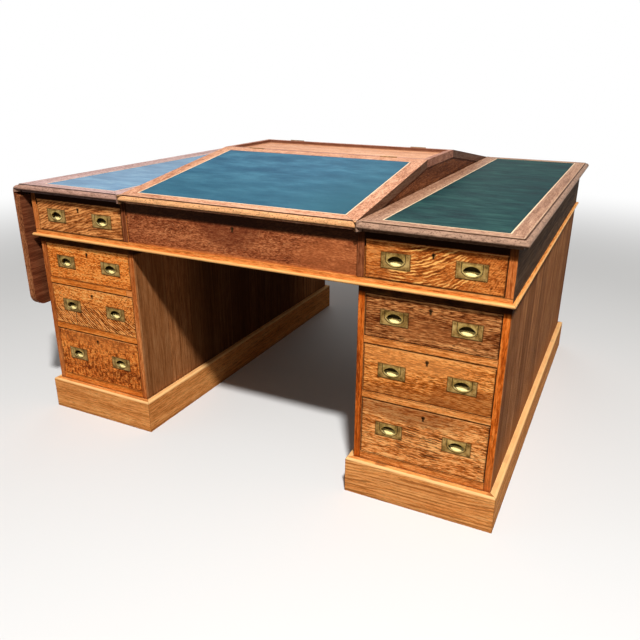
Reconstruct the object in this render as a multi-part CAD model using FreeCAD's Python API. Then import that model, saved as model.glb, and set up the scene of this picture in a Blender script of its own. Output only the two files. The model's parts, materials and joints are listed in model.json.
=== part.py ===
import FreeCAD, Part
import math
import os

# An oak partners desk: two pedestals on mitred plinths carry a frieze with drawers at both
# sides, leather-topped flats at the ends, and two sloping lids that meet at a pen tray.
# Millimetres. +X is to the right of the person at the front, +Y is away from them, +Z is up.
# Everything is laid out about the middle of the two pedestals and is shifted once, on export.

os.makedirs("parts", exist_ok=True)
Vector = FreeCAD.Vector

# Driving dimensions of the whole desk
top_height = 762.0
ridge_height = 842.0
top_thickness = 24.0
carcase_half_depth = 654.0
frieze_half_depth = 666.0
top_half_depth = 692.0
pedestal_outer = 729.0
pedestal_inner = 357.0
pedestal_top = 602.0
side_thickness = 18.25
right_edge = 753.0
leaf_outer_face = 774.0
lid_half_width = 359.0
tray_half_depth = 145.1

# Plinth and waist moulding
plinth_height = 106.0
plinth_thickness = 17.0
plinth_rounding = 6.0
side_foot = 6.0
waist_height = 9.2
waist_projection = 9.0
waist_rounding = 4.0

# Openings in the front, from the bottom of each pedestal up
carcase_floor = 127.0
drawer_openings = {"bottom": 166.0, "middle": 136.0, "top": 116.0}
rail_height = 18.5
rail_depth = 60.0
frieze_floor = 622.5
frieze_opening = 99.0
runner_width = 20.0
board_thickness = 18.0
floor_thickness = 20.0
bed_thickness = 12.0
bay_stop = 116.0
bay_stop_thickness = 12.0

# Drawers
drawer_gap = 1.25
drawer_recess = 1.5
runner_clearance = 0.25
front_thickness = 20.0
drawer_side = 10.0
drawer_back = 9.0
drawer_bottom = 6.0
groove_height = 9.0
groove_depth = 4.0
tail_length = 13.0
tail_flare = 2.0
tail_pitch = 38.0
tail_space = 7.0
side_drop = 9.0
pedestal_drawer_length = 560.0
frieze_drawer_length = 537.0
edge_chamfer = 1.0
arris_chamfer = 1.2

# Campaign handles: a let-in plate with a dished pan and a swinging bail
handle_spacing = 180.0
plate_width = 72.0
plate_height = 39.0
plate_thickness = 2.0
plate_proud = 0.8
plate_chamfer = 0.4
bail_half_width = 24.0
bail_top = 15.5
bail_shoulder = 1.5
bail_bottom = -14.5
bail_corner = 10.5
bail_thickness = 2.2
bail_gap = 0.6
finger_half_width = 20.5
finger_top = 11.8
finger_bottom = -11.6
pan_depth = 12.0
pan_wall = 1.5
pivot_radius = 0.8
pivot_length = 2.4
pivot_end_room = 0.2
scoop_radius = 15.0
fit_clearance = 0.05
keyhole_drop = 22.0
keyhole_radius = 3.0
keyhole_slot = 9.0
keyhole_slot_width = 3.2
lock_width = 64.0
lock_height = 36.0
lock_depth = 9.0
selvedge_width = 14.0
selvedge_thickness = 2.0

# Top frames, lids and leathers
frame_width = 50.0
leaf_member_width = 89.0
lid_frame_width = 43.0
frame_gap = 2.5
nosing_width = 12.0
nosing_recess = 13.0
quirk_depth = 2.5
nose_depth = 11.5
thumb_depth = 17.0
panel_drop = 2.0
panel_thickness = 12.0
leather_thickness = 1.7
lid_seat_gap = 0.5
lid_spill = 2.0
cheek_outer = 356.5
cheek_thickness = 16.0
cheek_setback = 20.0
bay_floor_drop = 4.0
bay_floor_thickness = 12.0
panel_setback = 2.0
panel_key_drop = 61.0
tray_rim = 16.0
tray_recess = 10.0
tray_fillet = 4.0

# Lopers: bars that carry the raised leaf, stored in the frieze
loper_length = 300.0
loper_width = 26.0
loper_height = 24.0
loper_play = 0.3
loper_side_play = 0.5
notch_radius = 12.0
guide_thickness = 12.0

# Cupboard doors
door_stile = 84.0
door_rail = 70.0
door_tongue = 8.0
door_tongue_thickness = 6.0
field_margin = 24.0
field_setback = 2.5
field_chamfer = 3.5
door_handle_rise = 40.0
door_key_rise = 62.0
door_lock_width = 52.0
door_lock_height = 48.0

# Rule joint and drop leaf
rule_fillet = 3.0
rule_under = 4.0
rule_clearance = 0.4
leaf_length = 372.0
leaf_corner = 35.0
leaf_half_width = 690.0
leaf_lip = 2.5

# Hinges
knuckle_gap = 0.3
hinge_room = 0.4
butt_flap = 1.4
lid_hinge_places = (-235.0, 235.0)
lid_hinge_length = 54.0
lid_flap_drop = 20.0
lid_knuckle_radius = 2.4
lid_pin_radius = 1.1
leaf_hinge_places = (-500.0, 0.0, 500.0)
leaf_hinge_length = 50.0
leaf_flap = 1.6
leaf_flap_width = 34.0
leaf_knuckle_radius = 3.2
leaf_pin_radius = 1.4
leaf_knuckle_room = 6.0
door_hinge_inset = 75.0
door_hinge_length = 60.0
door_flap_width = 20.0
door_knuckle_radius = 3.2
door_pin_radius = 1.5
door_pin_proud = 1.5

# Values worked out from the dimensions above
frieze_top = top_height - top_thickness
opening_inner = pedestal_inner + side_thickness
opening_outer = pedestal_outer - side_thickness
opening_width = opening_outer - opening_inner
bay_centre = (opening_inner + opening_outer) / 2
front_width = opening_width - 2 * drawer_gap
lid_axis_y = tray_half_depth + 0.25
arris_run = top_half_depth - nosing_width - lid_axis_y
lid_slope = math.atan2(ridge_height - top_height, arris_run)
lid_length = math.hypot(ridge_height - top_height, arris_run) + nosing_width
rule_radius = top_thickness - rule_fillet - rule_under
rule_x = -(leaf_outer_face - rule_fillet - rule_radius)
rule_z = top_height - rule_fillet - rule_radius
left_edge = -(rule_x - rule_radius)
flat_inner = lid_half_width + frame_gap
centre_shift = (leaf_outer_face - right_edge) / 2
bay_floor = frieze_floor - bay_floor_drop
door_face = carcase_half_depth
door_pin_x = opening_outer - drawer_gap / 2
door_pin_y = door_face + door_pin_proud
big = 3000.0


def box(x_span, y_span, z_span):
    corner = Vector(min(x_span), min(y_span), min(z_span))
    size = [abs(span[1] - span[0]) for span in (x_span, y_span, z_span)]
    return Part.makeBox(size[0], size[1], size[2], corner)


def face_from(steps, place):
    # A closed outline of straight points; a step that is a pair is an arc (through, to)
    edges = []
    here = steps[0]
    for step in list(steps[1:]) + [steps[0]]:
        if isinstance(step[0], tuple):
            middle, end = step
            edges.append(Part.Arc(place(*here), place(*middle), place(*end)).toShape())
            here = end
        elif step != here:
            edges.append(Part.makeLine(place(*here), place(*step)))
            here = step
    return Part.Face(Part.Wire(edges))


def along_x(steps, x_span):
    # An outline in (y, z) swept along X
    face = face_from(steps, lambda y, z: Vector(min(x_span), y, z))
    return face.extrude(Vector(abs(x_span[1] - x_span[0]), 0, 0))


def along_y(steps, y_span):
    # An outline in (x, z) swept along Y
    face = face_from(steps, lambda x, z: Vector(x, min(y_span), z))
    return face.extrude(Vector(0, abs(y_span[1] - y_span[0]), 0))


def along_z(steps, z_span):
    # An outline in (x, y) swept along Z
    face = face_from(steps, lambda x, y: Vector(x, y, min(z_span)))
    return face.extrude(Vector(0, 0, abs(z_span[1] - z_span[0])))


def cylinder(radius, start, end):
    axis = end - start
    return Part.makeCylinder(radius, axis.Length, start, axis)


def moved(shape, x, y, z):
    result = shape.copy()
    result.translate(Vector(x, y, z))
    return result


def turned(shape, degrees, about=Vector(0, 0, 0), axis=Vector(0, 0, 1)):
    result = shape.copy()
    result.rotate(about, axis, degrees)
    return result


def mirrored(shape):
    return shape.mirror(Vector(0, 0, 0), Vector(1, 0, 0))


def fused(shapes):
    return shapes[0].multiFuse(shapes[1:]).removeSplitter()


def on_side(side, shape):
    # Pieces are drawn for the right-hand side, and mirrored for the left
    return shape if side > 0 else mirrored(shape)


def mitred_ring(outlines, half_x, half_y, widths, outer):
    # Four mitred members round a rectangle: front, right, back and left. Each outline is in
    # (u, z), where u runs outwards from the rectangle's side, and each width runs inwards.
    members = []
    for quarter, steps in enumerate(outlines):
        half_length = half_y if quarter % 2 else half_x
        reach = half_x if quarter % 2 else half_y
        placed = face_from(steps, lambda u, z: Vector(-half_length - outer, -reach - u, z))
        bar = placed.extrude(Vector(2 * (half_length + outer), 0, 0))
        inside = -reach + widths[quarter]
        wedge = along_z([(-half_length - outer, -reach - outer),
                         (half_length + outer, -reach - outer),
                         (half_length - widths[(quarter + 1) % 4], inside),
                         (-half_length + widths[quarter - 1], inside)], (-big, big))
        members.append(turned(bar.common(wedge), 90 * quarter))
    return members


def save(node, solids):
    group = Part.makeCompound([moved(solid, centre_shift, 0, 0) for solid in solids])
    group.exportStep("parts/%s.step" % node)


# Mouldings

def plinth_outline():
    height = plinth_height
    round_at = height - plinth_rounding
    lean = plinth_rounding * (1 - math.sqrt(0.5))
    return [(0.0, 0.0), (plinth_thickness, 0.0), (plinth_thickness, round_at),
            ((plinth_thickness - lean, height - lean),
             (plinth_thickness - plinth_rounding, height)),
            (0.0, height)]


def waist_outline():
    # A flat strip with a rounded nose
    low = pedestal_top
    high = pedestal_top + waist_height
    shoulder = waist_projection - waist_rounding
    return [(0.0, low), (shoulder, low),
            ((waist_projection, (low + high) / 2), (shoulder, high)), (0.0, high)]


def nosing_outline(width, high):
    # The moulded edge of the top: a quirk, a thumb, and a plain ground set back under it
    low = high - top_thickness
    nose = high - nose_depth
    base = high - thumb_depth
    tuck = 4.0
    return [(-width, high), (-nosing_width, high), (-nosing_width, high - quirk_depth),
            ((-3.2, (high - quirk_depth + nose) / 2 + 1.8), (0.0, nose)),
            ((-1.1, nose - 3.5), (-tuck, base)),
            (-nosing_recess, base), (-nosing_recess, low), (-width, low)]


def plain_outline(width, high, reach=0.0):
    low = high - top_thickness
    return [(-width, high), (reach, high), (reach, low), (-width, low)]


# Handles and locks. They are drawn for a front face in the plane y = 0, with the desk
# behind it, and about the middle of the plate.

def d_outline(grow):
    # A flat top, straight shoulders and a bottom of three arcs, each running into the next
    half = bail_half_width + grow
    top = bail_top + grow
    low = bail_bottom - grow
    corner = bail_corner + grow
    rise = bail_shoulder - low
    across = half - corner
    radius = (across ** 2 + rise ** 2 - corner ** 2) / (2 * (rise - corner))
    lean = math.atan2(radius - rise, across)
    join = (across + corner * math.cos(lean), bail_shoulder - corner * math.sin(lean))
    bulge = (across + corner * math.cos(lean / 2), bail_shoulder - corner * math.sin(lean / 2))
    return [(-half, top), (-half, bail_shoulder),
            ((-bulge[0], bulge[1]), (-join[0], join[1])), ((0.0, low), join),
            (bulge, (half, bail_shoulder)), (half, top)]


def finger_outline():
    half = finger_half_width
    middle = (finger_top + finger_bottom) / 2
    return [(-half, middle), ((0.0, finger_top), (half, middle)),
            ((0.0, finger_bottom), (-half, middle))]


def bail_axis():
    return Vector(0, -plate_proud + bail_thickness / 2, bail_top - bail_thickness / 2)


def handle_plate():
    front = -plate_proud
    recess_floor = front + bail_thickness + bail_gap
    pan_back = recess_floor + pan_depth
    plate = box((-plate_width / 2, plate_width / 2), (front, front + plate_thickness),
                (-plate_height / 2, plate_height / 2))
    rim = [edge for edge in plate.Edges if edge.BoundBox.YMax < front + 0.01]
    plate = plate.makeChamfer(plate_chamfer, rim)
    pan = along_y(d_outline(bail_gap + pan_wall), (front + plate_thickness, pan_back))
    body = plate.fuse(pan)
    body = body.cut(along_y(d_outline(bail_gap), (front - 1, recess_floor)))
    # The dish is scooped about a line that runs across the handle
    scoop_centre = Vector(0, pan_back - pan_wall - scoop_radius, 0)
    across = Vector(finger_half_width + pan_wall, 0, 0)
    scoop = cylinder(scoop_radius, scoop_centre - across, scoop_centre + across)
    mouth = box((-big, big), (recess_floor - 1, big), (finger_bottom - 1, finger_top + 1))
    body = body.cut(scoop.common(mouth))
    pin = bail_axis()
    hole = Vector(bail_half_width + pivot_length + pivot_end_room, 0, 0)
    return body.cut(cylinder(pivot_radius + fit_clearance, pin - hole, pin + hole))


def handle_bail():
    front = -plate_proud
    bail = along_y(d_outline(0.0), (front, front + bail_thickness))
    bail = bail.cut(along_y(finger_outline(), (front - 1, front + bail_thickness + 1)))
    pin = bail_axis()
    # The top edge is rounded about the pivots so that it turns in its recess
    above = box((-big, big), (-big, big), (pin.z, big))
    barrel = cylinder(bail_thickness / 2, pin - Vector(bail_half_width, 0, 0),
                      pin + Vector(bail_half_width, 0, 0))
    bail = bail.cut(above).fuse(barrel)
    reach = Vector(bail_half_width + pivot_length, 0, 0)
    return bail.fuse(cylinder(pivot_radius, pin - reach, pin + reach)).removeSplitter()


def handle_mortise():
    front = -plate_proud
    plate = box((-plate_width / 2, plate_width / 2), (front, front + plate_thickness),
                (-plate_height / 2, plate_height / 2))
    half = bail_half_width + bail_gap + pan_wall
    back = front + bail_thickness + bail_gap + pan_depth
    pan = box((-half, half), (front, back),
              (bail_bottom - bail_gap - pan_wall, bail_top + bail_gap + pan_wall))
    return plate.fuse(pan)


def keyhole():
    # A round hole with a slot below it, cut through the front board
    bore = cylinder(keyhole_radius, Vector(0, -1, 0), Vector(0, front_thickness + 1, 0))
    half = keyhole_slot_width / 2
    slot = box((-half, half), (-1, front_thickness + 1), (-keyhole_slot, 0))
    return bore.fuse(slot)


def box_lock(thickness):
    # The lock is let in from behind; its selvedge shows on the top edge of the front
    rise = keyhole_drop
    case = box((-lock_width / 2, lock_width / 2), (thickness - lock_depth, thickness),
               (rise - lock_height, rise))
    selvedge = box((-lock_width / 2, lock_width / 2), (thickness - selvedge_width, thickness),
                   (rise - selvedge_thickness, rise))
    return case.fuse(selvedge).removeSplitter()


# Drawers

def tails(low, high, count, depth, baseline, thickness):
    # Dovetails on a drawer side, standing off the line y = baseline by depth
    pitch = (high - low) / count
    half_root = pitch / 2 - tail_space
    pieces = []
    for place in range(count):
        middle = low + pitch * (place + 0.5)
        flare = half_root + tail_flare
        shape = face_from([(baseline, middle - half_root), (baseline + depth, middle - flare),
                           (baseline + depth, middle + flare), (baseline, middle + half_root)],
                          lambda y, z: Vector(0, y, z))
        pieces.append(shape.extrude(Vector(thickness, 0, 0)))
    return pieces


def drawer(height, length):
    # Returns wood, brass and bails, about the middle of the front face, in the plane y = 0
    half = front_width / 2
    low = -height / 2
    high = height / 2
    side_low = low - drawer_gap + runner_clearance
    side_high = high - side_drop
    baseline = front_thickness
    front = box((-half, half), (0, front_thickness), (low, high))
    rim = [edge for edge in front.Edges if edge.BoundBox.YMax < 0.01]
    front = front.makeChamfer(edge_chamfer, rim)
    count = max(2, round(height / tail_pitch))
    board = box((half - drawer_side, half), (baseline, length - drawer_back), (side_low, side_high))
    joint = [moved(tail, half - drawer_side, 0, 0)
             for tail in tails(side_low, side_high, count, -tail_length, baseline, drawer_side)]
    joint += [moved(tail, half - drawer_side, 0, 0)
              for tail in tails(side_low, side_high, count, drawer_back,
                                length - drawer_back, drawer_side)]
    right = fused([board] + joint)
    groove_low = side_low + groove_height
    panel = box((-half + drawer_side - groove_depth, half - drawer_side + groove_depth),
                (baseline - groove_depth, length), (groove_low, groove_low + drawer_bottom))
    right = right.cut(panel)
    left = mirrored(right)
    back = box((-half, half), (length - drawer_back, length),
               (groove_low + drawer_bottom, side_high)).cut(right).cut(left)
    front = front.cut(right).cut(left).cut(panel)
    brass = []
    bails = []
    for x in (-handle_spacing / 2, handle_spacing / 2):
        front = front.cut(moved(handle_mortise(), x, 0, 0))
        brass.append(moved(handle_plate(), x, 0, 0))
        bails.append(moved(handle_bail(), x, 0, 0))
    key_z = high - keyhole_drop
    lock = moved(box_lock(front_thickness), 0, 0, key_z)
    front = front.cut(moved(keyhole(), 0, 0, key_z)).cut(lock)
    brass.append(lock)
    return [front, left, right, back, panel], brass, bails


def save_drawer(name, pieces, x, z, reach, at_back=False):
    # The front stands a little back from the rails, whose face is at reach
    for suffix, solids in zip(("", "_brass", "_bails"), pieces):
        placed = [moved(solid, x, drawer_recess - reach, z) for solid in solids]
        if at_back:
            placed = [turned(solid, 180) for solid in placed]
        save(name + suffix, placed)


def drawer_levels():
    # Each pedestal opening as (name, floor, height)
    floor = carcase_floor
    levels = []
    for name, height in drawer_openings.items():
        levels.append((name, floor, height))
        floor += height + rail_height
    return levels


def make_drawers():
    for name, floor, height in drawer_levels():
        pieces = drawer(height - 2 * drawer_gap, pedestal_drawer_length)
        middle = floor + height / 2
        save_drawer("left_%s_drawer" % name, pieces, -bay_centre, middle, carcase_half_depth)
        save_drawer("right_%s_drawer" % name, pieces, bay_centre, middle, carcase_half_depth)
    pieces = drawer(frieze_opening - 2 * drawer_gap, frieze_drawer_length)
    middle = frieze_floor + frieze_opening / 2
    for side, name in ((-1, "left"), (1, "right")):
        x = side * bay_centre
        save_drawer("front_%s_frieze_drawer" % name, pieces, x, middle, frieze_half_depth)
        save_drawer("back_%s_frieze_drawer" % name, pieces, -x, middle, frieze_half_depth, True)


# Hinges: the pin runs along Z through the origin, and both flaps are given as boxes

def hinge(fixed_flap, moving_flap, radius, pin_radius, length, reach):
    # Each flap stays outside the reach of the other half's knuckles
    third = length / 3
    ends = [(-length / 2, -third / 2), (third / 2, length / 2)]
    middle_room = cylinder(reach, Vector(0, 0, -third / 2 - knuckle_gap),
                           Vector(0, 0, third / 2 + knuckle_gap))
    pin = cylinder(pin_radius, Vector(0, 0, -length / 2), Vector(0, 0, length / 2))
    fixed = [fixed_flap.cut(middle_room), pin]
    moving = moving_flap
    for low, high in ends:
        fixed.append(cylinder(radius, Vector(0, 0, low), Vector(0, 0, high)))
        room = cylinder(reach, Vector(0, 0, low - knuckle_gap), Vector(0, 0, high + knuckle_gap))
        moving = moving.cut(room)
    knuckle = cylinder(radius, Vector(0, 0, -third / 2 + knuckle_gap),
                       Vector(0, 0, third / 2 - knuckle_gap))
    bore = cylinder(pin_radius + fit_clearance, Vector(0, 0, -big), Vector(0, 0, big))
    moving = moving.fuse(knuckle).cut(bore).removeSplitter()
    return fused(fixed), moving


# Lids are drawn flat, with the hinge axis along X through the origin and the top at z = 0,
# then tipped to the slope. The back lid is the front one turned round.

def tip_lid(shape, at_back=False):
    tipped = turned(shape, math.degrees(lid_slope), axis=Vector(1, 0, 0))
    placed = moved(tipped, 0, -lid_axis_y, ridge_height)
    return turned(placed, 180) if at_back else placed


def lid_hinge(place):
    # Both flaps hang down from the pin, one let into the tray and one into the lid
    gap = lid_axis_y - tray_half_depth
    span = (-lid_hinge_length / 2, lid_hinge_length / 2)
    fixed_flap = box((-lid_flap_drop, 0), (gap, gap + butt_flap), span)
    moving_flap = box((-lid_flap_drop, 0), (-gap - butt_flap, -gap), span)
    pair = hinge(fixed_flap, moving_flap, lid_knuckle_radius, lid_pin_radius,
                 lid_hinge_length, lid_knuckle_radius + knuckle_gap)
    level = [turned(half, -90, axis=Vector(0, 1, 0)) for half in pair]
    return [moved(half, place, -lid_axis_y, ridge_height) for half in level]


def lid_hinge_room(place):
    half = Vector(lid_hinge_length / 2 + hinge_room, 0, 0)
    centre = Vector(place, -lid_axis_y, ridge_height)
    return cylinder(lid_knuckle_radius + hinge_room, centre - half, centre + half)


def make_lid():
    spill = top_thickness * math.tan(lid_slope) + lid_spill
    half_y = (lid_length + spill) / 2
    plain = plain_outline(lid_frame_width, 0.0)
    back = plain_outline(lid_frame_width + spill, 0.0)
    outlines = [nosing_outline(lid_frame_width, 0.0), plain, back, plain]
    ring = mitred_ring(outlines, lid_half_width, half_y, [lid_frame_width] * 4, 0.0)
    ring = [moved(member, 0, spill - half_y, 0) for member in ring]
    inside_x = (-lid_half_width + lid_frame_width, lid_half_width - lid_frame_width)
    inside_y = (-lid_length + lid_frame_width, spill - lid_frame_width)
    panel = box(inside_x, inside_y, (-panel_drop - panel_thickness, -panel_drop))
    leather = box(inside_x, inside_y, (-panel_drop, -panel_drop + leather_thickness))
    beyond = box((-big, big), (tray_half_depth - 2 * lid_axis_y, big), (0, big))
    wood = [tip_lid(solid).cut(beyond) for solid in ring + [panel]]
    hinges = []
    fixed = []
    for place in lid_hinge_places:
        fixed_half, moving_half = lid_hinge(place)
        fixed.append(fixed_half)
        hinges.append(moving_half)
        wood = [solid.cut(lid_hinge_room(place)).cut(moving_half) for solid in wood]
    return wood, [tip_lid(leather)], hinges, fixed


# Flats at the two ends of the top

def flat_frame(half_x, outlines, left_width):
    widths = [frame_width, frame_width, frame_width, left_width]
    ring = mitred_ring(outlines, half_x, top_half_depth, widths, 0.0)
    inside_x = (-half_x + left_width, half_x - frame_width)
    inside_y = (-top_half_depth + frame_width, top_half_depth - frame_width)
    high = top_height - panel_drop
    panel = box(inside_x, inside_y, (high - panel_thickness, high))
    leather = box(inside_x, inside_y, (high, high + leather_thickness))
    return ring + [panel], leather


def make_right_top():
    half_x = (right_edge - flat_inner) / 2
    nosing = nosing_outline(frame_width, top_height)
    plain = plain_outline(frame_width, top_height)
    wood, leather = flat_frame(half_x, [nosing, nosing, nosing, plain], frame_width)
    middle = (right_edge + flat_inner) / 2
    return [moved(solid, middle, 0, 0) for solid in wood], moved(leather, middle, 0, 0)


def rule_limit():
    # All that the fixed half of the rule joint may fill: the top, rounded about the pins
    low = top_height - top_thickness
    reach = math.sqrt(rule_radius ** 2 - rule_under ** 2)
    turn = math.asin(rule_under / rule_radius) / 2
    return along_y([(rule_x, top_height), (rule_x, top_height - rule_fillet),
                    ((rule_x - rule_radius * math.sqrt(0.5),
                      rule_z + rule_radius * math.sqrt(0.5)),
                     (rule_x - rule_radius, rule_z)),
                    ((rule_x - rule_radius * math.cos(turn),
                      rule_z - rule_radius * math.sin(turn)),
                     (rule_x - reach, low)),
                    (0.0, low), (0.0, top_height)], (-big, big))


def leaf_hinge(place):
    # The fixed flap lies under the top and the other hangs inside the leaf
    span = (-leaf_hinge_length / 2, leaf_hinge_length / 2)
    fixed_flap = box((0, leaf_flap_width), (-rule_under, -rule_under + leaf_flap), span)
    moving_flap = box((rule_under - leaf_flap, rule_under),
                      (-rule_radius - leaf_flap_width, 0), span)
    pair = hinge(fixed_flap, moving_flap, leaf_knuckle_radius, leaf_pin_radius,
                 leaf_hinge_length, leaf_knuckle_room)
    level = [turned(half, 90, axis=Vector(1, 0, 0)) for half in pair]
    return [moved(half, rule_x, place, rule_z) for half in level]


def leaf_hinge_room(place):
    half = leaf_hinge_length / 2 + hinge_room
    start = Vector(rule_x, place - half, rule_z)
    end = Vector(rule_x, place + half, rule_z)
    slot = box((rule_x - rule_radius - 1, rule_x), (place - half, place + half),
               (rule_z - rule_under, rule_z - rule_under + leaf_flap + hinge_room))
    return cylinder(leaf_knuckle_room, start, end).fuse(slot)


def make_left_top():
    half_x = (left_edge - flat_inner) / 2
    nosing = nosing_outline(frame_width, top_height)
    plain = plain_outline(frame_width, top_height)
    wide = plain_outline(leaf_member_width, top_height)
    wood, leather = flat_frame(half_x, [nosing, plain, nosing, wide], leaf_member_width)
    middle = -(left_edge + flat_inner) / 2
    wood = [moved(solid, middle, 0, 0).common(rule_limit()) for solid in wood]
    fixed = []
    moving = []
    for place in leaf_hinge_places:
        fixed_half, moving_half = leaf_hinge(place)
        fixed.append(fixed_half)
        moving.append(moving_half)
        wood = [solid.cut(leaf_hinge_room(place)).cut(fixed_half) for solid in wood]
    return wood, moved(leather, middle, 0, 0), fixed, moving


def make_leaf(hinge_flaps):
    # Drawn raised, level with the top, then swung down about the rule joint
    radius = rule_radius + rule_clearance
    face_x = rule_x - rule_clearance
    high = top_height
    low = top_height - top_thickness
    cove_top = rule_z + math.sqrt(radius ** 2 - rule_clearance ** 2)
    end_x = rule_x - leaf_length
    lean = leaf_lip * (1 - math.sqrt(0.5))
    board = along_y([(face_x, high), (end_x + leaf_lip, high),
                     ((end_x + lean, high - lean), (end_x, high - leaf_lip)),
                     (end_x, low), (rule_x - radius, low), (rule_x - radius, rule_z),
                     ((rule_x - radius * math.sqrt(0.5), rule_z + radius * math.sqrt(0.5)),
                      (face_x, cove_top))], (-leaf_half_width, leaf_half_width))
    swing = leaf_corner * (1 - math.sqrt(0.5))
    half = leaf_half_width
    plan = along_z([(0.0, -half), (end_x + leaf_corner, -half),
                    ((end_x + swing, -half + swing), (end_x, -half + leaf_corner)),
                    (end_x, half - leaf_corner),
                    ((end_x + swing, half - swing), (end_x + leaf_corner, half)),
                    (0.0, half)], (0, big))
    raised = board.common(plan)
    pin_line = Vector(rule_x, 0, rule_z)
    hanging = turned(raised, -90, about=pin_line, axis=Vector(0, 1, 0))
    for flap in hinge_flaps:
        hanging = hanging.cut(flap)
    return hanging


def make_tray():
    board = box((-lid_half_width, lid_half_width), (-tray_half_depth, tray_half_depth),
                (ridge_height - top_thickness, ridge_height))
    hollow = box((-lid_half_width + tray_rim, lid_half_width - tray_rim),
                 (-tray_half_depth + tray_rim, tray_half_depth - tray_rim),
                 (ridge_height - tray_recess, ridge_height + 1))
    floor_edges = [edge for edge in hollow.Edges
                   if edge.BoundBox.ZMax < ridge_height - tray_recess + 0.01]
    return board.cut(hollow.makeFillet(tray_fillet, floor_edges))


# Carcase

def side_board(x_span, half_depth, z_span, shows_at):
    # An upright board whose two standing edges on the side that shows are eased
    board = box(x_span, (-half_depth, half_depth), z_span)
    arrises = [edge for edge in board.Edges
               if edge.BoundBox.ZLength > 1 and abs(edge.BoundBox.XMin - shows_at) < 0.01]
    return board.makeChamfer(arris_chamfer, arrises)


def make_pedestal():
    # The right-hand pedestal: drawers in front of the partition, a cupboard behind it
    depth = (-carcase_half_depth, carcase_half_depth)
    opening = (opening_inner, opening_outer)
    height = (side_foot, pedestal_top)
    outer = side_board((opening_outer, pedestal_outer), carcase_half_depth, height,
                       pedestal_outer)
    inner = side_board((pedestal_inner, opening_inner), carcase_half_depth, height,
                       pedestal_inner)
    pieces = [inner, outer]
    last = drawer_levels()[-1]
    ceiling = last[1] + last[2]
    pieces.append(box(opening, depth, (carcase_floor - floor_thickness, carcase_floor)))
    pieces.append(box(opening, depth, (ceiling, pedestal_top)))
    half_partition = board_thickness / 2
    pieces.append(box(opening, (-half_partition, half_partition), (carcase_floor, ceiling)))
    rail_back = -carcase_half_depth + rail_depth
    for name, floor, height in drawer_levels()[1:]:
        span = (floor - rail_height, floor)
        pieces.append(box(opening, (-carcase_half_depth, rail_back), span))
        for edge, inward in ((opening_inner, 1), (opening_outer, -1)):
            pieces.append(box((edge, edge + inward * runner_width),
                              (rail_back, -half_partition), span))
    return pieces


def make_plinth():
    half_width = (pedestal_outer - pedestal_inner) / 2
    ring = mitred_ring([plinth_outline()] * 4, half_width, carcase_half_depth, [0.0] * 4,
                       plinth_thickness)
    return [moved(board, (pedestal_outer + pedestal_inner) / 2, 0, 0) for board in ring]


def make_frieze():
    half = frieze_half_depth
    opening = (opening_inner, opening_outer)
    rail_back = half - rail_depth
    opening_top = frieze_floor + frieze_opening
    pieces = []
    rails = []
    for face in (-1, 1):
        span = (face * half, face * rail_back)
        rail = box((-opening_outer, opening_outer), span, (pedestal_top, frieze_floor))
        rails.append(rail)
        pieces.append(rail)
    for side in (-1, 1):
        end = side_board((opening_outer, pedestal_outer), half, (pedestal_top, frieze_top),
                         pedestal_outer)
        end = on_side(side, end)
        if side < 0:
            for place in (-1, 1):
                end = end.cut(grown(loper(place), loper_play))
        pieces.append(end)
        divider = on_side(side, box((pedestal_inner, opening_inner), (-half, half),
                                    (pedestal_top, frieze_top)))
        pieces.append(divider.cut(rails[0]).cut(rails[1]))
        bed = box(opening, (-rail_back, rail_back), (frieze_floor - bed_thickness, frieze_floor))
        pieces.append(on_side(side, bed))
        for face in (-1, 1):
            top_rail = box(opening, (face * half, face * rail_back), (opening_top, frieze_top))
            pieces.append(on_side(side, top_rail))
            stop = box(opening, (face * (bay_stop - bay_stop_thickness), face * bay_stop),
                       (frieze_floor, frieze_top))
            pieces.append(on_side(side, stop))
            for edge, inward in ((opening_inner, 1), (opening_outer, -1)):
                kicker = box((edge, edge + inward * runner_width),
                             (face * rail_back, face * bay_stop), (opening_top, frieze_top))
                pieces.append(on_side(side, kicker))
    pieces.append(box((-pedestal_inner, pedestal_inner), (-rail_back, rail_back),
                      (bay_floor - bay_floor_thickness, bay_floor)))
    pieces += loper_guides()
    return pieces


def loper(place):
    # A sliding bearer that carries the raised leaf, with a finger notch under its end
    outer_y = bay_stop - bay_stop_thickness - loper_side_play
    bar = box((-pedestal_outer, -pedestal_outer + loper_length),
              (place * (outer_y - loper_width), place * outer_y),
              (frieze_top - loper_height, frieze_top - loper_play))
    centre = Vector(-pedestal_outer + 26.0, 0, frieze_top - loper_height - notch_radius / 2)
    along = Vector(0, bay_stop, 0)
    return bar.cut(cylinder(notch_radius, centre - along, centre + along))


def loper_guides():
    # Under each loper a bearer, and beside it a fence
    outer_y = bay_stop - bay_stop_thickness
    fence_y = outer_y - loper_width - 2 * loper_side_play
    under = frieze_top - loper_height - loper_play
    span = (-opening_outer, -opening_inner)
    pieces = []
    for place in (-1, 1):
        pieces.append(box(span, (place * fence_y, place * outer_y),
                          (under - guide_thickness, under)))
        pieces.append(box(span, (place * (fence_y - guide_thickness), place * fence_y),
                          (under - guide_thickness, frieze_top)))
    return pieces


def grown(shape, gap):
    room = shape.BoundBox
    return box((room.XMin - gap, room.XMax + gap), (room.YMin - gap, room.YMax + gap),
               (room.ZMin - gap, room.ZMax + gap))


def under_lid(y):
    # Height of the closed lid's underside at the distance y from the middle of the desk
    run = abs(y) - lid_axis_y
    return ridge_height - run * math.tan(lid_slope) - top_thickness / math.cos(lid_slope)


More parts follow.
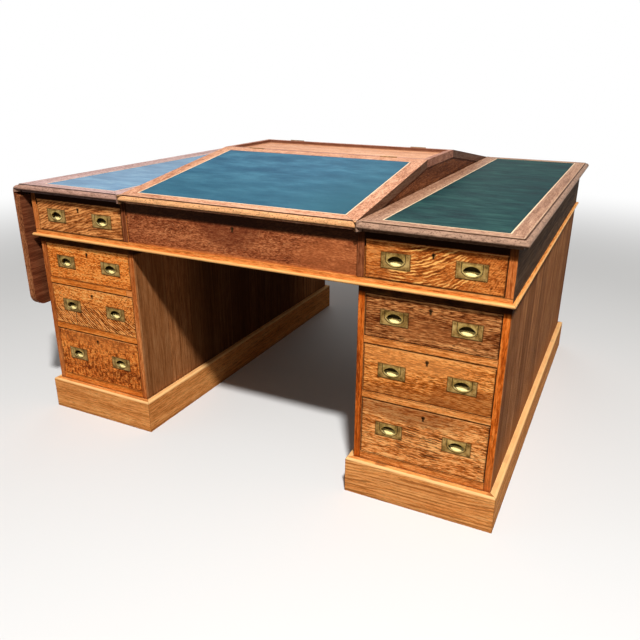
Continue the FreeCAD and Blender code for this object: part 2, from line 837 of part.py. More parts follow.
def make_centre_panels():
    # The fixed panels between the frieze drawers, which the lids lock down on
    face = frieze_half_depth - panel_setback
    back = face - board_thickness
    high = under_lid(face) - lid_seat_gap
    key_z = top_height - panel_key_drop
    hole = moved(keyhole(), 0, -face, key_z)
    lock = moved(box_lock(board_thickness), 0, -face, key_z)
    panel = box((-pedestal_inner, pedestal_inner), (-face, -back), (frieze_floor, high))
    panel = panel.cut(hole).cut(lock)
    return [panel, turned(panel, 180)], [lock, turned(lock, 180)]


def make_cheeks():
    # Gables under the lids' ends, and the board between the two compartments
    floor = bay_floor
    reach = frieze_half_depth - cheek_setback
    seat = ridge_height - top_thickness
    crown = [(-tray_half_depth, under_lid(lid_axis_y) - lid_seat_gap), (-tray_half_depth, seat),
             (tray_half_depth, seat), (tray_half_depth, under_lid(lid_axis_y) - lid_seat_gap)]
    rail_back = frieze_half_depth - rail_depth
    outline = [(-rail_back, floor), (-rail_back, frieze_floor), (-reach, frieze_floor),
               (-reach, under_lid(reach) - lid_seat_gap)] + crown + [
               (reach, under_lid(reach) - lid_seat_gap), (reach, frieze_floor),
               (rail_back, frieze_floor), (rail_back, floor)]
    cheek = along_x(outline, (cheek_outer - cheek_thickness, cheek_outer))
    inner = cheek_outer - cheek_thickness
    half_middle = cheek_thickness / 2
    middle = box((-inner, inner), (-half_middle, half_middle), (floor, seat))
    return [cheek, mirrored(cheek), middle]


# Cupboard doors on the back of the pedestals

def door_hinge():
    # Both flaps run into the door's thickness; the knuckle stands proud of the face
    span = (-door_hinge_length / 2, door_hinge_length / 2)
    gap = drawer_gap / 2
    fixed_flap = box((gap, gap + butt_flap), (-door_flap_width, 0), span)
    moving_flap = box((-gap - butt_flap, -gap), (-door_flap_width, 0), span)
    return hinge(fixed_flap, moving_flap, door_knuckle_radius, door_pin_radius,
                 door_hinge_length, door_knuckle_radius + knuckle_gap)


def door_hinge_room(z):
    half = Vector(0, 0, door_hinge_length / 2 + hinge_room)
    centre = Vector(door_pin_x, door_pin_y, z)
    return cylinder(door_knuckle_radius + hinge_room, centre - half, centre + half)


def make_door():
    # The right-hand cupboard's door: two stiles, two rails and a fielded panel
    floor = carcase_floor + drawer_gap
    last = drawer_levels()[-1]
    high = last[1] + last[2] - drawer_gap
    low_x = opening_inner + drawer_gap
    high_x = opening_outer - drawer_gap
    back = door_face - front_thickness
    depth = (back, door_face)
    stiles = [box((low_x, low_x + door_stile), depth, (floor, high)),
              box((high_x - door_stile, high_x), depth, (floor, high))]
    inner_x = (low_x + door_stile, high_x - door_stile)
    inner_z = (floor + door_rail, high - door_rail)
    rails = [box(inner_x, depth, (floor, inner_z[0])), box(inner_x, depth, (inner_z[1], high))]
    middle = (back + door_face) / 2
    half_tongue = door_tongue_thickness / 2
    slab = box((inner_x[0] - door_tongue, inner_x[1] + door_tongue),
               (middle - half_tongue, middle + half_tongue),
               (inner_z[0] - door_tongue, inner_z[1] + door_tongue))
    raised = box((inner_x[0] + field_margin, inner_x[1] - field_margin),
                 (middle, door_face - field_setback),
                 (inner_z[0] + field_margin, inner_z[1] - field_margin))
    front_edges = [edge for edge in raised.Edges if edge.BoundBox.YMin > door_face - 3.0]
    field = raised.makeChamfer(field_chamfer, front_edges)
    panel = slab.fuse(field).removeSplitter()
    wood = [solid.cut(slab) for solid in stiles + rails]
    # The fittings are drawn for a front face and turned round to the back
    handle_x = low_x + door_stile / 2
    handle_z = (floor + high) / 2 + door_handle_rise
    plate, bail, mortise = [moved(turned(piece, 180), handle_x, door_face, handle_z)
                            for piece in (handle_plate(), handle_bail(), handle_mortise())]
    key_z = handle_z + door_key_rise
    hole = moved(turned(keyhole(), 180), handle_x, door_face, key_z)
    lock_case = box((low_x, low_x + door_lock_width), (back, back + lock_depth),
                    (key_z - door_lock_height / 2, key_z + door_lock_height / 2))
    wood = [solid.cut(mortise).cut(hole).cut(lock_case) for solid in wood]
    brass = [plate, lock_case]
    fixed = []
    for z in (floor + door_hinge_inset, high - door_hinge_inset):
        fixed_half, moving_half = [moved(half, door_pin_x, door_pin_y, z)
                                   for half in door_hinge()]
        fixed.append(fixed_half)
        brass.append(moving_half)
        wood = [solid.cut(door_hinge_room(z)).cut(moving_half) for solid in wood]
    return wood + [panel], brass, [bail], fixed


def main():
    make_drawers()

    door_wood, door_brass, door_bail, door_fixed = make_door()
    for side, name in ((-1, "left"), (1, "right")):
        save(name + "_cupboard_door", [on_side(side, solid) for solid in door_wood])
        save(name + "_cupboard_door_brass", [on_side(side, solid) for solid in door_brass])
        save(name + "_cupboard_door_bail", [on_side(side, solid) for solid in door_bail])

    pedestal = make_pedestal()
    for plate in door_fixed:
        room = door_hinge_room((plate.BoundBox.ZMin + plate.BoundBox.ZMax) / 2)
        pedestal = [solid.cut(plate).cut(room) for solid in pedestal]
    plinth = make_plinth()
    for side, name in ((-1, "left"), (1, "right")):
        save(name + "_pedestal", [on_side(side, solid) for solid in pedestal])
        save(name + "_plinth", [on_side(side, solid) for solid in plinth])

    save("frieze_case", make_frieze())
    save("lopers", [loper(-1), loper(1)])
    save("waist_moulding", mitred_ring([waist_outline()] * 4, pedestal_outer,
                                       frieze_half_depth, [0.0] * 4, waist_projection))
    panels, lid_locks = make_centre_panels()
    save("centre_panels", panels)
    save("lid_locks", lid_locks)
    save("cheeks", make_cheeks())

    right_wood, right_leather = make_right_top()
    left_wood, left_leather, leaf_fixed, leaf_moving = make_left_top()
    save("right_top", right_wood)
    save("left_top", left_wood)
    save("top_leathers", [left_leather, right_leather])
    save("drop_leaf", [make_leaf(leaf_moving)])
    save("drop_leaf_hinges", leaf_moving)

    lid_wood, lid_leather, lid_moving, lid_fixed = make_lid()
    tray = make_tray()
    lid_fixed_all = lid_fixed + [turned(half, 180) for half in lid_fixed]
    for half in lid_fixed_all:
        tray = tray.cut(half)
    for place in lid_hinge_places:
        room = lid_hinge_room(place)
        tray = tray.cut(room).cut(turned(room, 180))
    save("pen_tray", [tray])
    for name, at_back in (("front", False), ("back", True)):
        for suffix, solids in (("_lid", lid_wood), ("_lid_leather", lid_leather),
                               ("_lid_hinges", lid_moving)):
            placed = [turned(solid, 180) if at_back else solid for solid in solids]
            save(name + suffix, placed)

    door_fixed_all = door_fixed + [mirrored(half) for half in door_fixed]
    save("fixed_hinges", leaf_fixed + lid_fixed_all + door_fixed_all)


main()
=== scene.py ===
import json
import math

import bmesh
import bpy
from mathutils import Matrix, Vector


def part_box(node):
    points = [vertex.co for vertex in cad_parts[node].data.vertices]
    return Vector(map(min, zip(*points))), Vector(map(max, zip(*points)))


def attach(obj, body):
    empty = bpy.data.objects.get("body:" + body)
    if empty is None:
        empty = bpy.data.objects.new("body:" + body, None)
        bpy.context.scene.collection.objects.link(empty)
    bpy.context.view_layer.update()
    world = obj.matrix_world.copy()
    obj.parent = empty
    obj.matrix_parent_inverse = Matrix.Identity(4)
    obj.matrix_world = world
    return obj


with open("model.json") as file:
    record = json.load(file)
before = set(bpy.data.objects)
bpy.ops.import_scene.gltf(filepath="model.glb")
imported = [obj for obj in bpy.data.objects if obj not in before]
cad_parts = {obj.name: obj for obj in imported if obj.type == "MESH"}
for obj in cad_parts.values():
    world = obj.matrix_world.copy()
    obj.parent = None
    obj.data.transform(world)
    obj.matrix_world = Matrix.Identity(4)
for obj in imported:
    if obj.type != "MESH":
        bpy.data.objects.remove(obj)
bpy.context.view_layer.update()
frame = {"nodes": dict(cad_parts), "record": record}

nodes = frame["nodes"]
bodies = frame["record"]["behaviour"]["bodies"]
mm = 0.001
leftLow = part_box("left_pedestal")[0]
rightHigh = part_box("right_pedestal")[1]
deskMiddle = Vector(((leftLow.x + rightHigh.x) / 2, 0, 0))  # the desk is laid out about this line
print("frame loaded:", len(nodes), "nodes")


def shade(red, green, blue):  # a colour as a screen shows it, each part from 0 to 255
    def straight(part):
        part = part / 255
        return part / 12.92 if part <= 0.04045 else ((part + 0.055) / 1.055) ** 2.4
    return (straight(red), straight(green), straight(blue), 1.0)


def dimmed(colour, share):
    return (colour[0] * share, colour[1] * share, colour[2] * share, 1.0)


def darkest(look, share):  # the darkest tone of a look, dimmed
    return dimmed(shade(*look["tones"][0]), share)


class Wire:  # one socket of a material; a sum written with it adds its Math nodes
    def __init__(self, tree, socket=None):
        self.tree = tree
        self.socket = socket

    def node(self, kind, settings, inputs, output=0):
        made = self.tree.nodes.new(kind)
        for name, value in settings.items():
            setattr(made, name, value)
        for name, value in inputs.items():
            if isinstance(value, Wire):
                self.tree.links.new(value.socket, made.inputs[name])
            else:
                made.inputs[name].default_value = value
        return Wire(self.tree, made.outputs[output]) if len(made.outputs) else None

    def beside(self, output):  # another output of the same node
        return Wire(self.tree, self.socket.node.outputs[output])

    def math(self, operation, *values):
        return self.node("ShaderNodeMath", {"operation": operation}, dict(enumerate(values)))

    def __add__(self, other):
        return self.math("ADD", self, other)

    def __radd__(self, other):
        return self.math("ADD", other, self)

    def __sub__(self, other):
        return self.math("SUBTRACT", self, other)

    def __rsub__(self, other):
        return self.math("SUBTRACT", other, self)

    def __mul__(self, other):
        return self.math("MULTIPLY", self, other)

    def __rmul__(self, other):
        return self.math("MULTIPLY", other, self)

    def __truediv__(self, other):
        return self.math("DIVIDE", self, other)

    def __gt__(self, other):
        return self.math("GREATER_THAN", self, other)

    def __lt__(self, other):
        return self.math("LESS_THAN", self, other)

    def __abs__(self):
        return self.math("ABSOLUTE", self)

    def smaller(self, other):
        return self.math("MINIMUM", self, other)

    def larger(self, other):
        return self.math("MAXIMUM", self, other)

    def distance(self, other):  # from the middle, with this and the other one at right angles
        square = self * self + other * other
        return square.math("SQRT", square)

    def rise(self, low, high):  # 0 below low, 1 above high, and smooth between them
        return self.node("ShaderNodeMapRange", {"interpolation_type": "SMOOTHSTEP"},
                         {"Value": self, "From Min": low, "From Max": high})

    def fall(self, low, high):
        return 1 - self.rise(low, high)

    def near(self, place, low, high):  # 1 up to low from a place, 0 from high on
        return abs(self - place).fall(low, high)

    def ramp(self, tones, places):  # a colour that runs through the tones as this passes the places
        made = self.node("ShaderNodeValToRGB", {}, {"Fac": self})
        stops = made.socket.node.color_ramp.elements
        stops.new(0.5)
        for stop, place, tone in zip(stops, places, tones):
            stop.position = place
            stop.color = shade(*tone)
        return made

    def point(self, x, y, z):
        return self.node("ShaderNodeCombineXYZ", {}, {0: x, 1: y, 2: z})

    def parts(self):
        split = self.node("ShaderNodeSeparateXYZ", {}, {0: self})
        return split, split.beside("Y"), split.beside("Z")

    def noise(self, size, detail, rough, seed):  # size in mm along, across and through
        scaled = self.node("ShaderNodeVectorMath", {"operation": "MULTIPLY_ADD"},
                           {0: self, 1: [1 / s for s in size], 2: (seed, seed * 0.7, seed * 1.3)})
        return self.node("ShaderNodeTexNoise", {}, {"Vector": scaled, "Scale": 1.0,
                                                   "Detail": detail, "Roughness": rough})

    def tint(self, factor, colour):  # this colour taken towards another one
        return self.node("ShaderNodeMix", {"data_type": "RGBA"}, {0: factor, 6: self, 7: colour}, 2)

    def swap(self, factor, other):  # this vector, or the other one where factor is 1
        return self.node("ShaderNodeMix", {"data_type": "VECTOR"}, {0: factor, 4: self, 5: other}, 1)


class Finish(Wire):  # a material: x, y and z in mm from a middle, and which way a point faces
    def __init__(self, name, middle=deskMiddle):
        self.material = bpy.data.materials.new(name)
        self.material.use_nodes = True
        self.material.node_tree.nodes.clear()
        super().__init__(self.material.node_tree)
        self.where = self.node("ShaderNodeTexCoord", {}, {}, "Object")
        x, y, z = self.where.parts()
        self.x = x * 1000 - middle[0] / mm
        self.y = y * 1000 - middle[1] / mm
        self.z = z * 1000 - middle[2] / mm
        self.faceX, self.faceY, self.faceZ = self.where.beside("Normal").parts()
        self.here = self.point(self.x, self.y, self.z)

    def begin(self, grain, look):  # with a wood, on which the rest is painted
        self.colour, self.rough, self.height = oak(grain, look)

    def paint(self, factor, colour):
        self.colour = self.colour.tint(factor, colour)

    def close(self, names, rougher=0.0, depth=0.25, metallic=0.0, specular=0.03, coat=0.0):
        bump = self.node("ShaderNodeBump", {},
                         {"Strength": 1.0, "Distance": depth * mm, "Height": self.height})
        surface = self.node("ShaderNodeBsdfPrincipled", {},
                            {"Base Color": self.colour, "Roughness": self.rough + rougher,
                             "Metallic": metallic, "Specular IOR Level": specular,
                             "Coat Weight": coat, "Coat Roughness": 0.25, "Normal": bump})
        self.node("ShaderNodeOutputMaterial", {}, {"Surface": surface})
        for name in names:
            mesh = nodes[name].data
            mesh.materials.clear()
            mesh.materials.append(self.material)


# Oak: grain is (along, across, through) the board in mm
oakSettings = {
    "run": 240,      # length of the streaks
    "streaks": 7,    # and their width
    "fine": 0.3,     # share of fine streaks
    "fineWidth": 2.6,
    "bands": (520, 36, 36),
    "clouds": (60, 42, 42),
    "spread": 0.1,   # a smaller one gives more contrast
    "flecks": 0.35,
    "dashes": 0.3,
    "dashRun": 20,
    "dashWidth": 2.4,
    "dashFrom": 0.54,
    "pores": 0.4,
    "poreSize": (9, 0.8, 0.8),
    "polish": 0.42,
}


def oak(grain, look):
    look = dict(oakSettings, **look)
    seed = look["seed"]
    run = look["run"]
    share = look["fine"]
    spread = look["spread"]
    streaks = grain.noise((run, look["streaks"], look["streaks"]), 3, 0.6, seed)
    fine = grain.noise((max(run * 0.14, 9), look["fineWidth"], look["fineWidth"]), 2, 0.6, seed + 8.8)
    bands = grain.noise(look["bands"], 2, 0.5, seed + 7.3)
    clouds = grain.noise(look["clouds"], 2, 0.55, seed + 3.1)
    tone = streaks * (0.55 - share * 0.6) + fine * share + bands * 0.22 + clouds * (0.23 - share * 0.4)
    colour = tone.ramp(look["tones"], (0.5 - spread, 0.5, 0.5 + spread))
    dashes = grain.noise((look["dashRun"], look["dashWidth"], 2.4), 2, 0.6, seed + 5.9)
    colour = colour.tint(dashes.fall(0.36, 0.46) * look["flecks"], shade(*look["tones"][2]))
    dashes = dashes.rise(look["dashFrom"], look["dashFrom"] + 0.1)
    colour = colour.tint(dashes * look["dashes"], darkest(look, 0.5))
    pores = grain.noise(look["poreSize"], 2, 0.6, seed + 1.7).rise(0.54, 0.68)
    colour = colour.tint(pores * look["pores"], darkest(look, 0.4))
    rough = look["polish"] + pores * 0.25 + (1 - clouds) * 0.12
    return colour, rough, tone * 0.4 - pores * 0.6 - dashes * 0.3


def oakColour(grain, look):
    return oak(grain, look)[0]


rawOak = {"tones": ((150, 112, 76), (184, 146, 104), (208, 172, 130)),
          "dashes": 0.2, "pores": 0.5, "run": 300}


def bareOak(grain, seed):  # wood that the polish never covered
    return oakColour(grain, dict(rawOak, seed=seed))


# Rays of quarter-sawn oak: even stripes that follow a slanting and bending course over a board
raySettings = {
    "middle": (0, 0),
    "bend": 0,
    "wander": 40,    # how far the course strays in mm, and over what size
    "wanderSize": (90, 60, 50),
    "shake": 4,
    "even": 0.06,
    "ragged": 1.2,
    "lights": 0.6,
    "lightFrom": 0.52,
    "darks": 0.6,
    "darkTo": 0.46,
}


def addRays(at, u, v, ray, seed):
    ray = dict(raySettings, **ray)
    u = u - ray["middle"][0]
    v = v - ray["middle"][1]
    flat = u.point(u, v, seed * 9.0)
    wander = flat.noise(ray["wanderSize"], 1, 0.5, seed + 2.2) - 0.5
    shake = flat.noise((14, 9, 20), 1, 0.5, seed + 4.1) - 0.5
    course = v - u * ray["slope"] - u * u * ray["bend"] + wander * ray["wander"] + shake * ray["shake"]
    along = u + v * ray["slope"]
    breaks = u.point(along, course, seed).noise((ray["length"], ray["spacing"], 30), 3, 0.6, seed + 6)
    wave = course.math("SINE", course * (2 * math.pi / ray["spacing"]))
    stripes = breaks + wave * ray["even"]
    ragged = (flat.noise((30, 22, 30), 1, 0.5, seed + 8) - 0.5) * ray["ragged"]
    here = (farOut(u, v, *ray["reach"]) + ragged).fall(0.7, 1.3)
    light = stripes.rise(ray["lightFrom"], ray["lightFrom"] + 0.12) * here
    dark = stripes.fall(ray["darkTo"] - 0.12, ray["darkTo"]) * here
    at.paint(dark * ray["darks"], shade(*ray["dark"]))
    at.paint(light * ray["lights"], shade(*ray["light"]))
    at.height = at.height + light * 0.3 - dark * 0.2


def farOut(u, v, reachU, reachV):  # 0 at the middle of an oval and 1 on its edge
    return u * u / reachU ** 2 + v * v / reachV ** 2


def addPatch(at, u, v, patch):  # a part of a board that is lighter or darker than the rest
    middle, reach, paint, strength = patch
    fromU = (u - middle[0]) / reach[0]
    fromV = (v - middle[1]) / reach[1]
    ragged = (u.point(u, v, 3.0).noise((26, 18, 20), 3, 0.6, middle[0] * 0.013) - 0.5) * 1.6
    here = (fromU * fromU + fromV * fromV + ragged).fall(0.3, 1.4)
    at.paint(here * strength, shade(*paint))


def outside(u, v, halfU, halfV):  # distance outside a rectangle, negative inside it
    return (abs(u) - halfU).larger(abs(v) - halfV)


# Stage, lamps and camera
stageSettings = {
    "floorReach": 40.0,
    "floor": shade(222, 221, 219),
    "floorLight": shade(140, 138, 136),  # the floor as it lights the desk
    "whiteFrom": 1.8,  # metres from the desk where the floor starts to fade to white
    "whiteTo": 4.8,
    "worldLight": 0.17,
    "lamps": {
        "key": {"spot": (1.7, -3.1, 4.5), "aim": (0, 0, 0.5), "size": 0.34, "power": 356},
        "fill": {"spot": (-3.2, -2.4, 2.0), "aim": (0, 0, 0.5), "size": 2.6, "power": 7},
        "back": {"spot": (-1.6, 3.6, 2.6), "aim": (0, 0, 0.5), "size": 2.6, "power": 24},
    },
    "cameraSpot": (0.9390, -2.0437, 1.0873),
    "cameraAim": (-0.40765, 0.83805, -0.36263),
    "cameraRoll": 0.38,
    "lens": 36.054,
}


def seenDirectly(wire):  # 1 for what the camera, gloss and glass see
    path = wire.node("ShaderNodeLightPath", {}, {}, "Is Camera Ray")
    return path.larger(path.beside("Is Glossy Ray")).larger(path.beside("Is Transmission Ray"))


def mixed(wire, factor, first, second):  # two shaders
    return wire.node("ShaderNodeMixShader", {}, {0: factor, 1: first, 2: second})


def placeInScene(name, data):
    made = bpy.data.objects.new(name, data)
    bpy.context.scene.collection.objects.link(made)
    return made


def makeStage(settings):
    reach = settings["floorReach"]
    mesh = bpy.data.meshes.new("floor")
    mesh.from_pydata([(-reach, -reach, 0), (reach, -reach, 0), (reach, reach, 0), (-reach, reach, 0)],
                     [], [(0, 1, 2, 3)])
    at = Finish("studioFloor")
    away = at.node("ShaderNodeVectorMath", {"operation": "LENGTH"}, {0: at.where}, "Value")
    fade = away.rise(settings["whiteFrom"], settings["whiteTo"]) * seenDirectly(at)
    paint = at.node("ShaderNodeBsdfDiffuse", {}, {"Color": settings["floor"]})
    dim = at.node("ShaderNodeBsdfDiffuse", {}, {"Color": settings["floorLight"]})
    white = at.node("ShaderNodeEmission", {}, {"Color": (1, 1, 1, 1), "Strength": 1.0})
    both = mixed(at, fade, mixed(at, seenDirectly(at), dim, paint), white)
    at.node("ShaderNodeOutputMaterial", {}, {"Surface": both})
    mesh.materials.append(at.material)
    floor = placeInScene("floor", mesh)

    world = bpy.data.worlds.new("studio")
    world.use_nodes = True
    world.node_tree.nodes.clear()
    wire = Wire(world.node_tree)
    light, white = [wire.node("ShaderNodeBackground", {}, {"Color": (1, 1, 1, 1), "Strength": strength})
                    for strength in (settings["worldLight"], 1.0)]
    wire.node("ShaderNodeOutputWorld", {}, {"Surface": mixed(wire, seenDirectly(wire), light, white)})
    bpy.context.scene.world = world


def makeLamp(name, settings):
    lamp = bpy.data.lights.new(name, "AREA")
    lamp.shape = "DISK"
    lamp.size = settings["size"]
    lamp.energy = settings["power"]
    lit = placeInScene(name, lamp)
    lit.location = settings["spot"]
    lit.rotation_euler = (Vector(settings["aim"]) - lit.location).to_track_quat("-Z", "Y").to_euler()


def makeCamera(settings):
    lens = bpy.data.cameras.new("camera")
    lens.sensor_width = 36.0
    lens.lens = settings["lens"]
    camera = placeInScene("camera", lens)
    turn = Vector(settings["cameraAim"]).to_track_quat("-Z", "Y").to_matrix().to_4x4()
    turn = turn @ Matrix.Rotation(math.radians(settings["cameraRoll"]), 4, "Z")
    camera.matrix_world = Matrix.Translation(settings["cameraSpot"]) @ turn
    bpy.context.scene.camera = camera


makeStage(stageSettings)
for name, lamp in stageSettings["lamps"].items():
    makeLamp(name + "Lamp", lamp)
makeCamera(stageSettings)
bpy.context.scene.view_settings.view_transform = "Standard"
print("stage, lamps and camera made")


# Handles and keyholes, which wear the wood about them too, with painted shade inside the keyholes
handleSettings = {
    "spacing": 90.0,      # from the middle of a drawer to each handle
    "lift": 0.5,          # and above it
    "plateHalf": (36.0, 19.5),
    "screwPlaces": (31.0, 14.5),
}

keyholeSettings = {
    "radius": 3.0,
    "slot": (1.6, 9.0),   # half width and drop
    "core": (0.6, 4.0),   # half the size of the slot's core
    "dirtAndShade": (3.6, 6.4),   # from the keyhole's middle or the core to where the dirt, and the shade painted inside the hole, fade and end
}


def keyholeDirtAndShade(u, v, settings):  # dirt round a keyhole at u = 0 and v = 0, and painted shade inside it
    slot = outside(u, v + settings["slot"][1] / 2, *settings["core"]) + settings["radius"]
    return u.distance(v).smaller(slot).fall(*settings["dirtAndShade"]) * 0.85


# Drawers
drawerSettings = {
    "frontThickness": 20.2,
    "sideDrop": 9.0,      # the sides stop this far below the front's top edge
    "tailPitch": 38.0,
    "tailRoom": 7.0,
    "tailFlare": 2.0,
    "tailLength": 13.0,
    "lapped": 7.0,        # wood of the front that covers the ends of the tails
    "keyholeDrop": 21.5,
    "arrisDrop": 4.0,
    # dark paint for dirt and painted shade, pale paint for the worn arris with its painted highlight
    "grimeAndShade": shade(40, 18, 8),
    "wornAndHighlitArris": shade(238, 170, 104),
    "glue": shade(60, 36, 20),
    "crack": shade(30, 14, 6),
}

orange = ((164, 84, 30), (204, 116, 50), (230, 148, 78))

drawerLooks = {
    "right_top_drawer": {
        "wood": {"tones": ((84, 34, 8), (150, 82, 38), (226, 156, 92)),
                 "seed": 1.0, "run": 110, "dashes": 0.8, "dashRun": 21, "dashWidth": 2.8,
                 "dashFrom": 0.5, "fine": 0.35, "spread": 0.11, "flecks": 0.5, "pores": 0.3},
        "patches": [((0, -20), (110, 26), (176, 104, 54), 0.3)]},
    "right_middle_drawer": {
        "wood": {"tones": ((142, 66, 14), (214, 118, 44), (252, 174, 94)),
                 "seed": 2.0, "run": 110, "dashes": 0.85, "dashRun": 17, "dashWidth": 2.4,
                 "dashFrom": 0.53, "fine": 0.45, "spread": 0.07, "flecks": 0.5, "pores": 0.2},
        "patches": [((-40, 44), (170, 36), (240, 158, 84), 0.4),
                    ((110, -44), (110, 46), (136, 70, 28), 0.55),
                    ((-50, -56), (130, 20), (128, 66, 28), 0.45)]},
    "right_bottom_drawer": {
        "wood": {"tones": ((152, 74, 22), (228, 132, 60), (254, 186, 112)),
                 "seed": 3.0, "run": 120, "dashes": 0.85, "dashRun": 19, "dashWidth": 2.4,
                 "dashFrom": 0.54, "fine": 0.45, "spread": 0.07, "flecks": 0.5, "pores": 0.2},
        "rays": [{"slope": -0.08, "bend": 0.0012, "length": 46, "spacing": 7.0, "middle": (0, -6),
                  "reach": (74, 60), "wander": 18, "light": (232, 156, 90), "dark": (74, 32, 10),
                  "lights": 0.3, "darks": 0.8, "darkTo": 0.5, "even": 0.08},
                 {"slope": 0.0, "length": 10, "spacing": 5, "middle": (158, 0), "reach": (22, 90),
                  "light": (222, 140, 76), "dark": (66, 28, 10), "lights": 0.1, "darks": 0.8}],
        "patches": [((-50, 62), (170, 30), (122, 62, 28), 0.6)]},
    "front_right_frieze_drawer": {
        "wood": {"tones": ((132, 58, 14), (190, 100, 38), (232, 146, 70)),
                 "seed": 4.0, "run": 60, "dashes": 0.5, "dashRun": 10, "dashWidth": 2.6, "fine": 0.4},
        "rays": [{"slope": 0.4, "bend": 0.0024, "length": 46, "spacing": 8.0, "middle": (-6, -6),
                  "reach": (112, 58), "wander": 14, "light": (254, 190, 104), "dark": (92, 42, 12),
                  "lights": 0.9, "darks": 0.8, "lightFrom": 0.53, "darkTo": 0.47, "even": 0.09,
                  "shake": 6},
                 {"slope": 0.05, "length": 40, "spacing": 6, "middle": (-134, 0), "reach": (50, 60),
                  "light": (238, 164, 92), "dark": (104, 50, 18), "lights": 0.4, "darks": 0.7},
                 {"slope": 1.3, "length": 26, "spacing": 8, "middle": (130, -10), "reach": (50, 60),
                  "light": (226, 148, 78), "dark": (96, 44, 14), "lights": 0.3, "darks": 0.75}]},
    "front_left_frieze_drawer": {
        "wood": {"tones": ((128, 60, 20), (190, 110, 52), (232, 156, 88)),
                 "seed": 5.0, "run": 80, "dashes": 0.3, "dashRun": 12, "fine": 0.4},
        "rays": [{"slope": 0.3, "bend": -0.0006, "length": 46, "spacing": 8, "middle": (0, 0),
                  "reach": (260, 120), "wander": 20, "light": (246, 170, 98), "dark": (92, 40, 12),
                  "lights": 0.7, "darks": 0.72, "lightFrom": 0.53, "darkTo": 0.49, "even": 0.08,
                  "shake": 7}]},
    "left_top_drawer": {
        "wood": {"tones": ((166, 74, 16), (241, 129, 45), (253, 176, 92)),
                 "seed": 6.0, "run": 60, "dashes": 0.8, "dashRun": 10, "dashWidth": 2.6,
                 "dashFrom": 0.54, "fine": 0.45, "spread": 0.08, "flecks": 0.5, "pores": 0.2}},
    "left_middle_drawer": {
        "wood": {"tones": ((158, 74, 20), (246, 139, 56), (254, 186, 104)),
                 "seed": 7.0, "spread": 0.08, "flecks": 0.5, "run": 40, "dashes": 0.75, "dashRun": 7,
                 "dashWidth": 2.8, "dashFrom": 0.54, "fine": 0.4, "pores": 0.3},
        "rays": [{"slope": -0.8, "bend": 0.0006, "length": 60, "spacing": 9.5, "middle": (0, -36),
                  "reach": (170, 46), "wander": 16, "light": (250, 176, 104), "dark": (80, 34, 10),
                  "lights": 0.75, "darks": 1.0, "lightFrom": 0.53, "darkTo": 0.48, "even": 0.12},
                 {"slope": 0.9, "length": 30, "spacing": 8, "middle": (140, 10), "reach": (40, 70),
                  "light": (232, 152, 84), "dark": (92, 42, 14), "lights": 0.4, "darks": 0.7}],
        "crack": (-78, -20)},
    "left_bottom_drawer": {
        "wood": {"tones": ((118, 46, 8), (231, 116, 39), (250, 162, 78)),
                 "seed": 8.0, "run": 26, "dashes": 0.6, "dashRun": 8, "dashWidth": 3.6,
                 "dashFrom": 0.54, "fine": 0.4, "spread": 0.08, "mottle": 0.85},
        "rays": [{"slope": 3.0, "length": 30, "spacing": 30, "middle": (20, -20), "reach": (170, 60),
                  "wander": 90, "light": (226, 140, 70), "dark": (92, 40, 12), "lights": 0.35,
                  "darks": 0.55, "even": 0.02}],
        "patches": [((0, 60), (170, 24), (206, 122, 58), 0.4)]},
    "back_left_frieze_drawer": {
        "wood": {"tones": orange, "seed": 9.0, "dashes": 0.45, "run": 80},
        "rays": [{"slope": 0.1, "length": 90, "spacing": 8, "middle": (30, 0), "reach": (110, 60),
                  "light": (240, 168, 98), "dark": (110, 52, 18), "lights": 0.5, "darks": 0.7}]},
    "back_right_frieze_drawer": {
        "wood": {"tones": orange, "seed": 10.0, "dashes": 0.45, "run": 80},
        "rays": [{"slope": -0.25, "length": 90, "spacing": 8, "middle": (-40, 0), "reach": (120, 60),
                  "light": (240, 168, 98), "dark": (110, 52, 18), "lights": 0.5, "darks": 0.7}]},
}


def addFrontWearAndShade(at, u, v, halfU, halfV, settings):
    # dirt round the let-in plates, dirt and painted gap shade round the edges; the top arris is worn
    # pale and painted with a highlight
    uneven = u.point(u, v, 1.0).noise((18, 14, 10), 2, 0.6, 2.6)
    inset = outside(u, v, halfU, halfV) * -1
    # within 1 to 2.6 mm of the edge the face is painted dark as the gap's shade
    grimeAndShade = (inset.fall(0.4, 5.5) * (0.2 + uneven * 0.6)).larger(inset.fall(1.0, 2.6) * 0.9)
    for middle in (-handleSettings["spacing"], handleSettings["spacing"]):
        nearPlate = outside(u - middle, v, *handleSettings["plateHalf"]).fall(0.2, 3.2)
        grimeAndShade = grimeAndShade.larger(nearPlate * (0.45 + uneven * 0.45))
    grimeAndShade = grimeAndShade.larger(keyholeDirtAndShade(u, v - (halfV - settings["keyholeDrop"]), keyholeSettings))
    at.paint(grimeAndShade, settings["grimeAndShade"])
    # a painted highlight, with wear, along the top arris
    arris = abs(halfV - v - settings["arrisDrop"]).fall(0.5, 1.6) * (0.1 + uneven * 0.7)
    at.paint(arris, settings["wornAndHighlitArris"])
    at.rough = at.rough + grimeAndShade * 0.1


def addMottle(at, flat, look):  # the dark and light clouds of a burr
    burr = flat.noise((9, 17, 11), 3, 0.6, 12.5)
    at.paint(burr.rise(0.5, 0.64) * look["mottle"], darkest(look, 0.75))
    at.paint(burr.fall(0.36, 0.46) * look["mottle"] * 0.6, shade(*look["tones"][2]))


